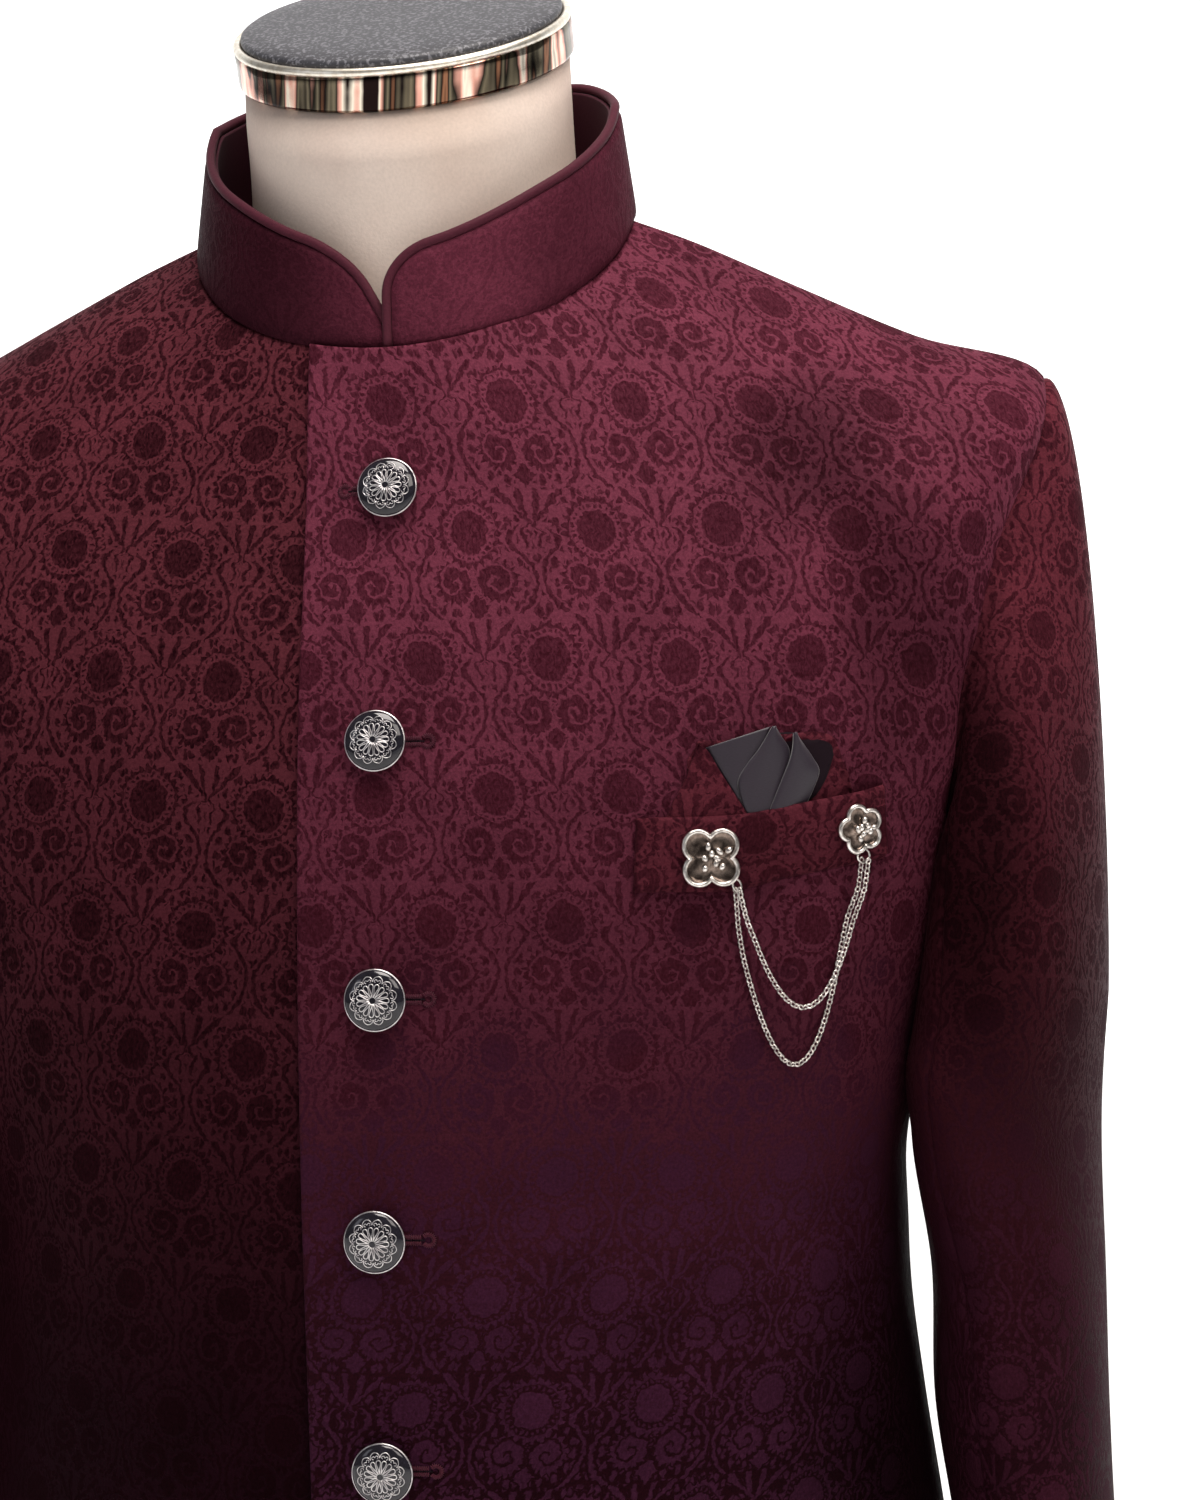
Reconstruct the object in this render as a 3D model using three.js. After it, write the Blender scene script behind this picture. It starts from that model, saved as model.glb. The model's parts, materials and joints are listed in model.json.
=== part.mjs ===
// A bandhgala jacket on a limbless dress form.
// Millimetres. X runs to the wearer's left, the front faces -Y and Z is up.
// The origin is the middle of the form's flat underside.
// The tables below count from the front neck point, and the whole group is moved at the end.
import * as THREE from "three";

const CLOTH = 2.0; // thickness of a jacket panel
const GAP = 0.3; // clearance left at each seam
const ARMHOLE_GAP = 0.6;
const UNDERARM_GAP = 1.2;
const OVERLAP = 27; // how far each front runs past the centre line
const OVER_LIFT = 2.9; // the buttoned front lies this far outside the other one
const FORM_BOTTOM = -705; // underside of the form, below the hem
const FORM_MIDDLE_Y = 80; // middle of the form, back from the front neck point

const FRONT_SHADE = 0x5a2433;
const COLLAR_SHADE = 0x4a1c2a;
const PIPING_SHADE = 0x2a1018;
const SATIN_SHADE = 0x4a4150;
const FORM_SHADE = 0xd9c9bb;
const DARK_SHADE = 0x3c3c42;
const METAL_SHADE = 0x8d8a90;
const BUTTON_SHADE = 0x15151b;

// Rings of the jacket's outside, from hem to neckline.
// Each row: front height, side height, back height, front Y, side Y, back Y,
// half width, roundness power, how sharply the ring dips to the front and back.
const BODY_RINGS = [
  [-680, -680, -680, -46, 80, 206, 207, 2.3, 1.0],
  [-620, -620, -620, -44, 80, 206, 204, 2.3, 1.0],
  [-560, -560, -560, -42, 80, 204, 200, 2.3, 1.0],
  [-500, -500, -500, -41, 80, 198, 195, 2.3, 1.0],
  [-445, -445, -445, -42, 80, 188, 189, 2.3, 1.0],
  [-396, -396, -396, -43, 80, 180, 182.5, 2.3, 1.0],
  [-350, -350, -350, -44, 80, 177, 178, 2.3, 1.0],
  [-305, -305, -305, -44.5, 80, 182, 179, 2.3, 1.0],
  [-260, -260, -260, -43, 79, 192, 184, 2.4, 1.0],
  [-215, -215, -215, -40, 78, 199, 194, 2.5, 1.0],
  [-162, -142, -158, -34, 76, 201, 208, 2.6, 1.0],
  [-118, -52, -98, -26, 74, 195, 226, 2.6, 1.05],
  [-82, -11, -54, -16, 72, 181, 236, 2.5, 1.25],
  [-54, 6, -9, -9, 70.5, 161, 189, 2.3, 1.35],
  [-31, 27, 26, -5, 68, 143, 144, 2.15, 1.3],
  [-13, 44, 52, -2, 65.5, 132, 108, 2.05, 1.15],
  [0, 53.5, 64, 0, 63.6, 126, 83.5, 2.0, 1.0],
];
const HEM = 0;
const ARMPIT = 9;
const TIP = 12;
const NECKLINE = 16;

const FRONT_NOTCH = 25; // degrees the armhole cuts into the front of a ring
const BACK_NOTCH = 24; // and into the back
const SQUEEZE = 2.4; // how closely the mesh gathers beside an armhole

// Soft folds pressed into the jacket.
// Each row: X and height of one end, X and height of the other, width, depth.
const FOLDS = [
  [150, -52, 182, -118, 15, -3.2],
  [128, -60, 196, -150, 13, 1.6],
  [170, -55, 205, -105, 13, 1.4],
  [-150, -60, -190, -140, 18, -1.8],
  [120, -330, 186, -300, 16, -1.6],
  [-120, -330, -186, -300, 16, -1.6],
  [60, -420, 80, -640, 26, 1.4],
  [-60, -420, -80, -640, 26, 1.4],
];

// Rings of one sleeve. Each row: height, middle X, half width, middle Y, half depth,
// and how far the ring's front leans towards the body.
const SLEEVE_RINGS = [
  [-245, 221.5, 33.2, 81, 77, 10],
  [-290, 216.4, 34.2, 80, 76, 12],
  [-345, 219, 32.6, 79, 74, 4],
  [-396, 218.8, 32.7, 77, 71, 0],
  [-445, 222.6, 30, 74, 67, 0],
  [-500, 227, 28.5, 69, 62, 0],
  [-560, 231.4, 27.7, 62, 57, 0],
  [-617, 234.8, 27, 54, 53, 0],
];
const CUFF_TILT = 9; // the cuff's front edge is this much lower than its back
// How the sleeve head leaves the shoulder seam: lift, reach, fullness and drop.
const HEAD_RAISE = 1.1;
const HEAD_LENGTH = 18;
const HEAD_SWELL = 2.5;
const HEAD_DROP = 70;

// Stand collar.
const COLLAR_RISE = 45; // height at the side and back
const COLLAR_FRONT_RISE = 36; // height at the front, before the corner is rounded
const COLLAR_CORNER_LEFT = 18; // radius of the rounded front corner, wearer's left
const COLLAR_CORNER_RIGHT = 29;
const COLLAR_OUT = 1.9; // the collar's outside stands this far outside the neckline
const COLLAR_CLOTH = 1.8;
const COLLAR_LINING = 1.4;
const COLLAR_LEAN = 6; // how far the top edge leans in at the sides
const COLLAR_CLEAR = 0.92; // the collar starts this far above the panels
const PIPING_RADIUS = 1.8;

// Breast pocket: X and height of the welt's corners.
const WELT = { x0: 91.5, z0: -181.5, x1: 176, z1: -173, half: 13.2 };

const BUTTON_HEIGHTS = [-52, -141, -229, -311, -391];
const BUTTON_X = [3.5, 1.5, 1.3, -0.5, -0.5];
const BUTTON_RADIUS = 10.8;

const LARGE_BROOCH = { x: 114.8, z: -183.1, radius: 9.4 };
const SMALL_BROOCH = { x: 163.2, z: -174.7, radius: 7 };
// Each chain: how far its lowest point hangs below its ends' mean, and its side step.
const CHAINS = [
  ["chain_short", 46, 0.2, 1.4],
  ["chain_long", 67, 1.6, -1.4],
];
const CHAIN_RADIUS = 1.15;

const NECK_CAP = { y: 56, z: 115.5, radius: 64, tilt: 29, band: 16 };

const rad = (degrees) => (degrees * Math.PI) / 180;
const vec = (x, y, z) => new THREE.Vector3(x, y, z);
const lerp = (a, b, t) => a + (b - a) * t;

function smooth(low, high, value) {
  const t = Math.min(1, Math.max(0, (value - low) / (high - low)));
  return t * t * (3 - 2 * t);
}

// A row of a table between its listed rows, by a smooth curve through them.
function rowAt(table, position) {
  const last = table.length - 1;
  const at = Math.min(last - 1e-9, Math.max(0, position));
  const i = Math.floor(at);
  const t = at - i;
  const before = table[Math.max(0, i - 1)];
  const low = table[i];
  const high = table[i + 1];
  const after = table[Math.min(last, i + 2)];
  return low.map((p1, k) => {
    const slope1 = (high[k] - before[k]) / (i > 0 ? 2 : 1);
    const slope2 = (after[k] - p1) / (i + 2 <= last ? 2 : 1);
    const t2 = t * t;
    const t3 = t2 * t;
    return (
      (2 * t3 - 3 * t2 + 1) * p1 +
      (t3 - 2 * t2 + t) * slope1 +
      (3 * t2 - 2 * t3) * high[k] +
      (t3 - t2) * slope2
    );
  });
}

// A point of the jacket's plain outside.
// The angle is 0 at the centre front, 90 at the wearer's left and 180 at the centre back.
function plainPoint(angle, level) {
  const [zf, zs, zb, yf, ys, yb, half, power, dip] = rowAt(BODY_RINGS, level);
  const s = Math.sin(rad(angle));
  const c = Math.cos(rad(angle));
  const reach = (Math.abs(s) ** power + Math.abs(c) ** power) ** (-1 / power);
  const along = Math.abs(c) * reach;
  const fall = along ** dip;
  const y = c >= 0 ? ys + (yf - ys) * along : ys + (yb - ys) * along;
  const z = c >= 0 ? zs + (zf - zs) * fall : zs + (zb - zs) * fall;
  return vec(half * s * reach, y, z);
}

function plainNormal(angle, level) {
  const step = 0.02;
  const across = plainPoint(angle + 0.5, level).sub(plainPoint(angle - 0.5, level));
  const low = plainPoint(angle, Math.max(HEM, level - step));
  const high = plainPoint(angle, Math.min(NECKLINE, level + step));
  return across.cross(high.sub(low)).normalize();
}

function foldDepth(point) {
  if (point.y > 120) return 0;
  let depth = 0;
  for (const [x0, z0, x1, z1, width, amount] of FOLDS) {
    const dx = x1 - x0;
    const dz = z1 - z0;
    const along = ((point.x - x0) * dx + (point.z - z0) * dz) / (dx * dx + dz * dz);
    const t = Math.min(1, Math.max(0, along));
    const away = Math.hypot(point.x - x0 - t * dx, point.z - z0 - t * dz);
    depth += amount * Math.exp(-((away / width) ** 2));
  }
  return depth;
}

// A point of the jacket's folded outside, lifted along the outward normal.
function bodyPoint(angle, level, lift) {
  const point = plainPoint(angle, level);
  const normal = plainNormal(angle, level);
  return point.addScaledVector(normal, lift + foldDepth(point));
}

// The buttoned front runs over the other one and comes level with it near the side.
function overLift(angle, level) {
  const point = plainPoint(angle, level);
  const reach = level > TIP ? lerp(95, 62, (level - TIP) / (NECKLINE - TIP)) : 95;
  return OVER_LIFT * (1 - smooth(36, reach, point.x));
}

// The ring angle whose X is the given one, near the centre front.
function angleAtX(x, level) {
  const half = rowAt(BODY_RINGS, level)[6];
  return (Math.asin(Math.min(0.999, Math.max(-0.999, x / half))) * 180) / Math.PI;
}

// Turns degrees for a small distance round a ring.
function degreesFor(distance, angle, level) {
  const chord = plainPoint(angle + 0.5, level).distanceTo(plainPoint(angle - 0.5, level));
  return distance / chord;
}

// Where the armhole or the shoulder and side seams cut a ring.
function seamAngle(level, notch) {
  if (level <= ARMPIT || level >= TIP) return 90;
  const t = (level - ARMPIT) / (TIP - ARMPIT);
  return 90 - notch * 2.14 * (t * (1 - t)) ** 0.55;
}

// A closed sheet from a grid of outside and inside points.
function shell(name, colour, columns, rows, outside, inside) {
  const wide = columns.length;
  const high = rows.length;
  const points = [];
  for (const side of [outside, inside]) {
    for (const r of rows) {
      for (const c of columns) points.push(side(c, r));
    }
  }
  const at = (layer, j, i) => layer * wide * high + j * wide + i;
  const faces = [];
  const quad = (a, b, c, d) => {
    const across = points[a].distanceTo(points[c]) <= points[b].distanceTo(points[d]);
    if (across) faces.push(a, b, c, a, c, d);
    else faces.push(b, c, d, b, d, a);
  };
  for (let j = 0; j + 1 < high; j += 1) {
    for (let i = 0; i + 1 < wide; i += 1) {
      quad(at(0, j, i), at(0, j, i + 1), at(0, j + 1, i + 1), at(0, j + 1, i));
      quad(at(1, j, i), at(1, j + 1, i), at(1, j + 1, i + 1), at(1, j, i + 1));
    }
  }
  for (let i = 0; i + 1 < wide; i += 1) {
    quad(at(1, 0, i), at(1, 0, i + 1), at(0, 0, i + 1), at(0, 0, i));
    quad(at(0, high - 1, i), at(0, high - 1, i + 1), at(1, high - 1, i + 1), at(1, high - 1, i));
  }
  for (let j = 0; j + 1 < high; j += 1) {
    quad(at(0, j, 0), at(0, j + 1, 0), at(1, j + 1, 0), at(1, j, 0));
    quad(at(1, j, wide - 1), at(1, j + 1, wide - 1), at(0, j + 1, wide - 1), at(0, j, wide - 1));
  }
  return meshFrom(name, colour, points, faces);
}

function meshFrom(name, colour, points, faces) {
  const geometry = new THREE.BufferGeometry();
  const flat = new Float32Array(points.length * 3);
  points.forEach((p, i) => p.toArray(flat, i * 3));
  geometry.setAttribute("position", new THREE.BufferAttribute(flat, 3));
  geometry.setIndex(faces);
  geometry.computeVertexNormals();
  const material = new THREE.MeshStandardMaterial({ color: colour, roughness: 0.7 });
  const mesh = new THREE.Mesh(geometry, material);
  mesh.name = name;
  return mesh;
}

// A solid through closed rings of points, closed with a middle point at both ends.
function lofted(name, colour, rings) {
  const wide = rings[0].length;
  const points = rings.flat();
  const faces = [];
  for (let j = 0; j + 1 < rings.length; j += 1) {
    for (let i = 0; i < wide; i += 1) {
      const n = (i + 1) % wide;
      const a = j * wide;
      faces.push(a + i, a + n, a + wide + n, a + i, a + wide + n, a + wide + i);
    }
  }
  const first = points.length;
  const top = (rings.length - 1) * wide;
  points.push(middle(rings[0]), middle(rings[rings.length - 1]));
  for (let i = 0; i < wide; i += 1) {
    const n = (i + 1) % wide;
    faces.push(first, n, i, first + 1, top + i, top + n);
  }
  return meshFrom(name, colour, points, faces);
}

function middle(ring) {
  const sum = vec(0, 0, 0);
  ring.forEach((p) => sum.add(p));
  return sum.divideScalar(ring.length);
}

function steps(from, to, count) {
  return Array.from({ length: count + 1 }, (_, i) => lerp(from, to, i / count));
}

const LOW_LEVELS = [0, 1.5, 3, 4, 4.8, 5.6, 6.5, 7.4, 8.2, 9];
const ARMHOLE_LEVELS = [9.03, 9.12, 9.28, 9.52, 9.85, 10.25, 10.65, 11.05, 11.4, 11.7, 11.88, 12];
const SHOULDER_LEVELS = [12.5, 13, 13.6, 14.3, 15.1, 15.98];
const LEVELS = [...LOW_LEVELS, ...ARMHOLE_LEVELS, ...SHOULDER_LEVELS];

// One panel between two edges given as angles, with the seam gap taken off each edge.
function panel(name, firstEdge, lastEdge, columnSplit, lift) {
  const angleOf = (u, level) => {
    const notched = level > ARMPIT && level < TIP ? 1 : 0;
    const a = firstEdge(level);
    const b = lastEdge(level);
    const room = (GAP / 2) * Math.sign(b - a);
    const start = a + degreesFor(room, a, level);
    const end = b - degreesFor(room, b, level);
    const cutStart = a - firstEdge(ARMPIT);
    const cutEnd = b - lastEdge(ARMPIT);
    const whole = lerp(start - cutStart * notched, end - cutEnd * notched, u);
    return whole + notched * (cutStart * (1 - u) ** SQUEEZE + cutEnd * u ** SQUEEZE);
  };
  const outside = (u, level) => {
    const angle = angleOf(u, level);
    return bodyPoint(angle, level, lift(angle, level));
  };
  const inside = (u, level) => {
    const angle = angleOf(u, level);
    return bodyPoint(angle, level, lift(angle, level) - CLOTH);
  };
  return shell(name, FRONT_SHADE, columnSplit, LEVELS, outside, inside);
}

function jacketBody() {
  const flat = () => 0;
  const frontColumns = [0, 0.12, 0.24, 0.36, 0.48, 0.59, 0.69, 0.78, 0.86, 0.93, 1];
  const backColumns = [0, 0.07, 0.15, 0.25, 0.37, 0.5, 0.64, 0.82, 1];
  const mirrored = frontColumns.map((u) => 1 - u).reverse();
  const backTurned = backColumns.map((u) => 1 - u).reverse();
  const leftEdge = (level) => angleAtX(-OVERLAP, level);
  const rightEdge = (level) => angleAtX(OVERLAP, level);
  const front = (level) => seamAngle(level, FRONT_NOTCH);
  const back = (level) => 180 - seamAngle(level, BACK_NOTCH);
  return [
    panel("front_left", leftEdge, front, frontColumns, overLift),
    panel("front_right", (l) => -front(l), rightEdge, mirrored, flat),
    panel("back_left", back, () => 180, backColumns, flat),
    panel("back_right", () => 180, (l) => 360 - back(l), backTurned, flat),
  ];
}

// The armhole edge of the wearer's left, as points with the panel's directions there.
function armholeHalf(notch, turned) {
  const levels = [ARMPIT, ...ARMHOLE_LEVELS].reverse();
  const list = levels.map((level) => {
    const seam = seamAngle(level, notch);
    const angle = turned ? 180 - seam : seam;
    return { angle, level, point: bodyPoint(angle, level, 0) };
  });
  let walked = 0;
  list.forEach((item, i) => {
    if (i) walked += item.point.distanceTo(list[i - 1].point);
    item.walked = walked;
  });
  list.forEach((item, i) => {
    const next = list[Math.min(list.length - 1, i + 1)].point;
    const last = list[Math.max(0, i - 1)].point;
    item.normal = plainNormal(item.angle, item.level);
    item.run = next.clone().sub(last).normalize();
    item.share = item.walked / walked;
  });
  return list;
}

const FRONT_ARMHOLE = armholeHalf(FRONT_NOTCH, false);
const BACK_ARMHOLE = armholeHalf(BACK_NOTCH, true);

// The armhole at a turn in degrees: 0 at the shoulder, 90 in front, 180 underarm, 270 behind.
function armholeAt(turn) {
  const t = ((turn % 360) + 360) % 360;
  const front = t <= 180;
  const list = front ? FRONT_ARMHOLE : BACK_ARMHOLE;
  const share = front ? t / 180 : (360 - t) / 180;
  let i = 0;
  while (i + 2 < list.length && list[i + 1].share < share) i += 1;
  const a = list[i];
  const b = list[i + 1];
  const k = Math.min(1, Math.max(0, (share - a.share) / (b.share - a.share)));
  const point = a.point.clone().lerp(b.point, k);
  const normal = a.normal.clone().lerp(b.normal, k).normalize();
  const run = a.run.clone().lerp(b.run, k).normalize();
  const away = front ? normal.clone().cross(run) : run.clone().cross(normal);
  const straight = vec(1, 0, 0).addScaledVector(normal, -normal.x).normalize();
  const near = smooth(14, 0, Math.min(t, 360 - t));
  away.lerp(straight, near).normalize();
  const up = vec(0, 0, 1).addScaledVector(normal, -normal.z).normalize();
  away.lerp(up, smooth(168, 180, front ? t : 360 - t)).normalize();
  return { point, normal, away };
}

function sleeveRing(turn, row) {
  const [z, x, half, y, deep, lean] = row;
  const c = Math.cos(rad(turn));
  const s = Math.sin(rad(turn));
  const low = smooth(-500, -617, z) * CUFF_TILT;
  return vec(x + half * c - lean * s, y - deep * s, z - low * s);
}

// The step from the panel's edge to the sleeve's edge.
function armholeGap(turn, leave) {
  const under = smooth(0.8, 1, (1 - Math.cos(rad(turn))) / 2);
  const step = leave.clone().multiplyScalar(ARMHOLE_GAP);
  return step.add(vec(UNDERARM_GAP * under, 0, UNDERARM_GAP * under));
}

// A point of the sleeve's outside. Position 0 to 1 is the sleeve head, then one for each ring.
function sleevePoint(turn, position) {
  if (position >= 1) return sleeveRing(turn, rowAt(SLEEVE_RINGS, position - 1));
  const { point, normal, away } = armholeAt(turn);
  const round = ((1 - Math.cos(rad(turn))) / 2) ** 1.2 * Math.PI;
  const leave = away.multiplyScalar(Math.cos(round)).addScaledVector(normal, Math.sin(round));
  const start = point.add(armholeGap(turn, leave));
  const end = sleeveRing(turn, SLEEVE_RINGS[0]);
  const under = (1 - Math.cos(rad(turn))) / 2;
  const raised = leave.clone().addScaledVector(normal, HEAD_RAISE * (1 - under) ** 4).normalize();
  const head = start.clone().addScaledVector(raised, lerp(HEAD_LENGTH, 4, under));
  const swell = HEAD_SWELL * (1 - under) ** 2 + 2 * under ** 4;
  const above = end.clone().add(vec(swell, 0, lerp(HEAD_DROP, 9, under ** 0.8)));
  const t = position;
  const k = 1 - t;
  return start
    .multiplyScalar(k * k * k)
    .addScaledVector(head, 3 * k * k * t)
    .addScaledVector(above, 3 * k * t * t)
    .addScaledVector(end, t * t * t);
}

function sleeveInside(turn, position) {
  if (position === 0) {
    const { point, normal, away } = armholeAt(turn);
    const round = ((1 - Math.cos(rad(turn))) / 2) ** 1.2 * Math.PI;
    const leave = away.clone().multiplyScalar(Math.cos(round));
    leave.addScaledVector(normal, Math.sin(round));
    const inward = away.clone().multiplyScalar(Math.sin(round));
    inward.addScaledVector(normal, -Math.cos(round));
    return point.add(armholeGap(turn, leave)).addScaledVector(inward, CLOTH);
  }
  const last = SLEEVE_RINGS.length;
  const across = sleevePoint(turn + 2, position).sub(sleevePoint(turn - 2, position));
  const low = sleevePoint(turn, Math.min(last, position + 0.02));
  const high = sleevePoint(turn, Math.max(0, position - 0.02));
  const inward = across.cross(high.sub(low)).normalize();
  return sleevePoint(turn, position).addScaledVector(inward, CLOTH);
}

const SLEEVE_ROWS = [0, 0.1, 0.24, 0.42, 0.62, 0.82, 1, 1.7, 2.4, 3, 3.7, 4.4, 5.5, 6.7, 8];

function sleeve(side) {
  const mirror = side === "left" ? 1 : -1;
  const shift = (turn, position) => {
    const near = sleevePoint(turn + 1, position).distanceTo(sleevePoint(turn - 1, position));
    return GAP / near;
  };
  const build = (name, from, to, count) => {
    const columns = steps(from, to, count);
    const turnOf = (turn, position) => {
      if (turn === from) return turn + shift(turn, position);
      if (turn === to) return turn - shift(turn, position);
      return turn;
    };
    const place = (p) => vec(p.x * mirror, p.y, p.z);
    const outside = (turn, position) => place(sleevePoint(turnOf(turn, position), position));
    const inside = (turn, position) => place(sleeveInside(turnOf(turn, position), position));
    const order = mirror > 0 ? columns.slice().reverse() : columns;
    const rows = SLEEVE_ROWS.slice().reverse();
    return shell(name, FRONT_SHADE, order, rows, outside, inside);
  };
  return [
    build("sleeve_top_" + side, -110, 122, 17),
    build("sleeve_under_" + side, 122, 250, 10),
  ];
}

// Distance round the neckline from the centre front, for an angle.
const NECK_WALK = (() => {
  const list = [0];
  for (let a = 1; a <= 180; a += 1) {
    const step = plainPoint(a, NECKLINE).distanceTo(plainPoint(a - 1, NECKLINE));
    list.push(list[a - 1] + step);
  }
  return list;
})();

function neckAngle(walked) {
  let i = 0;
  while (i < 179 && NECK_WALK[i + 1] < walked) i += 1;
  return i + (walked - NECK_WALK[i]) / (NECK_WALK[i + 1] - NECK_WALK[i]);
}

function collarRise(walked) {
  return lerp(COLLAR_FRONT_RISE, COLLAR_RISE, smooth(0, 70, walked));
}

// Height of a line that follows the collar's edge at a distance inside it.
function collarEdge(walked, corner, inset) {
  const top = collarRise(walked);
  const middleAt = corner + GAP / 2;
  if (walked >= middleAt) return top - inset;
  const reach = corner - inset;
  const back = middleAt - walked;
  return top - corner + Math.sqrt(Math.max(0, reach ** 2 - back ** 2));
}

// A point of the collar: distance from the end along the neckline, height, lift outwards.
function collarPoint(walked, height, lift) {
  const angle = neckAngle(walked);
  const base = plainPoint(angle, NECKLINE);
  const out = vec(base.x / 83.5, (base.y - 63.6) / 63, 0).normalize();
  const lean = (height / COLLAR_RISE) * COLLAR_LEAN * smooth(20, 90, angle);
  return vec(base.x, base.y, base.z + COLLAR_CLEAR + height).addScaledVector(out, lift - lean);
}

function collar() {
  const half = NECK_WALK[180];
  const bandInset = 2 * PIPING_RADIUS + 2 * GAP;
  const bandStart = GAP / 2 + bandInset;
  const first = [0.01, 0.6, 2, 5, 9, 14, 19, 25].map((w) => bandStart + w);
  const side = NECK_WALK[90];
  const further = [...steps(38, side - 6, 4), side, ...steps(side + 7, half - 9, 5), half];
  const halfWay = [...first, ...further];
  const back = halfWay.slice(0, -1).map((w) => 2 * half - w).reverse();
  const place = (walked, height, lift) => {
    if (walked <= half) return collarPoint(walked, height, lift);
    const p = collarPoint(2 * half - walked, height, lift);
    return vec(-p.x, p.y, p.z);
  };
  const top = (walked) => {
    if (walked <= half) return collarEdge(walked, COLLAR_CORNER_LEFT, bandInset);
    return collarEdge(2 * half - walked, COLLAR_CORNER_RIGHT, bandInset);
  };
  const band = (name, colour, outer, inner) => {
    const outside = (w, r) => place(w, top(w) * r, outer);
    const inside = (w, r) => place(w, top(w) * r, inner);
    return shell(name, colour, [...halfWay, ...back], [0, 0.33, 0.67, 1], outside, inside);
  };
  const seam = COLLAR_OUT - COLLAR_CLOTH;
  const lining = seam - GAP - COLLAR_LINING;
  const pipeLift = (COLLAR_OUT + lining) / 2;
  const edgeWay = (corner) => {
    const reach = corner - PIPING_RADIUS;
    const start = GAP / 2 + PIPING_RADIUS;
    const upright = [0.2, (collarRise(0) - corner) * 0.6].map((h) => [start, h]);
    const round = steps(0, 90, 7).map((a) => {
      const w = corner + GAP / 2 - reach * Math.cos(rad(a));
      return [w, collarRise(w) - corner + reach * Math.sin(rad(a))];
    });
    const along = further.map((w) => [w, collarRise(w) - PIPING_RADIUS]);
    return [...upright, ...round, ...along];
  };
  const left = edgeWay(COLLAR_CORNER_LEFT);
  const right = edgeWay(COLLAR_CORNER_RIGHT).slice(0, -1);
  const other = right.map(([w, h]) => [2 * half - w, h]).reverse();
  const path = [...left, ...other].map(([w, h]) => place(w, h, pipeLift));
  return [
    band("collar_outer", COLLAR_SHADE, COLLAR_OUT, seam),
    band("collar_inner", COLLAR_SHADE, seam - GAP, lining),
    tube("collar_piping", PIPING_SHADE, path, PIPING_RADIUS, 6),
  ];
}

// A round bar along a list of points.
function tube(name, colour, path, radius, sides) {
  const rings = [];
  let side = null;
  path.forEach((p, i) => {
    const ahead = path[Math.min(path.length - 1, i + 1)];
    const behind = path[Math.max(0, i - 1)];
    const along = ahead.clone().sub(behind).normalize();
    if (!side) {
      const guide = Math.abs(along.z) < 0.9 ? vec(0, 0, 1) : vec(0, 1, 0);
      side = guide.sub(along.clone().multiplyScalar(guide.dot(along))).normalize();
    } else {
      side.sub(along.clone().multiplyScalar(side.dot(along))).normalize();
    }
    const other = along.clone().cross(side);
    const ring = [];
    for (let k = 0; k < sides; k += 1) {
      const a = (2 * Math.PI * k) / sides;
      const q = p.clone().addScaledVector(side, radius * Math.cos(a));
      ring.push(q.addScaledVector(other, radius * Math.sin(a)));
    }
    rings.push(ring);
  });
  return lofted(name, colour, rings);
}

// The ring angle and level where the buttoned front has the given X and height.
function frontAt(x, z) {
  let angle = angleAtX(x, 9);
  let level = 9;
  for (let i = 0; i < 40; i += 1) {
    const p = plainPoint(angle, level);
    const pa = plainPoint(angle + 0.2, level);
    const pl = plainPoint(angle, level + 0.02);
    const xa = (pa.x - p.x) / 0.2;
    const za = (pa.z - p.z) / 0.2;
    const xl = (pl.x - p.x) / 0.02;
    const zl = (pl.z - p.z) / 0.02;
    const size = xa * zl - xl * za;
    angle += ((x - p.x) * zl - (z - p.z) * xl) / size;
    level += ((z - p.z) * xa - (x - p.x) * za) / size;
    level = Math.min(NECKLINE, Math.max(HEM, level));
  }
  return { angle, level };
}

function onFront(x, z, lift) {
  const { angle, level } = frontAt(x, z);
  return bodyPoint(angle, level, overLift(angle, level) + lift);
}

// A frame on the buttoned front: middle, across, up and outward.
function frontFrame(x, z) {
  const { angle, level } = frontAt(x, z);
  const middlePoint = bodyPoint(angle, level, overLift(angle, level));
  const out = plainNormal(angle, level);
  const across = vec(0, 0, 1).cross(out).normalize();
  const up = out.clone().cross(across);
  return { middlePoint, across, up, out };
}

// A point beside the welt: share across it, height above its middle line, lift.
function weltPoint(u, height, lift) {
  const x = lerp(WELT.x0, WELT.x1, u);
  const z = lerp(WELT.z0, WELT.z1, u ** 1.35) + height;
  return onFront(x, z, lift);
}

function welt() {
  const upward = [-1, -0.2, 0.15, 0.5, 1];
  const mouth = (u, v) => smooth(0, 0.12, u) * smooth(1, 0.88, u) * smooth(-0.9, 0.4, v);
  const outside = (u, v) => weltPoint(u, v * WELT.half, 2.4 + 3.2 * mouth(u, v));
  const inside = (u, v) => weltPoint(u, v * WELT.half, 0.4 + 3.6 * mouth(u, v));
  return shell("pocket_welt", FRONT_SHADE, steps(0, 1, 10), upward, outside, inside);
}

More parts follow.
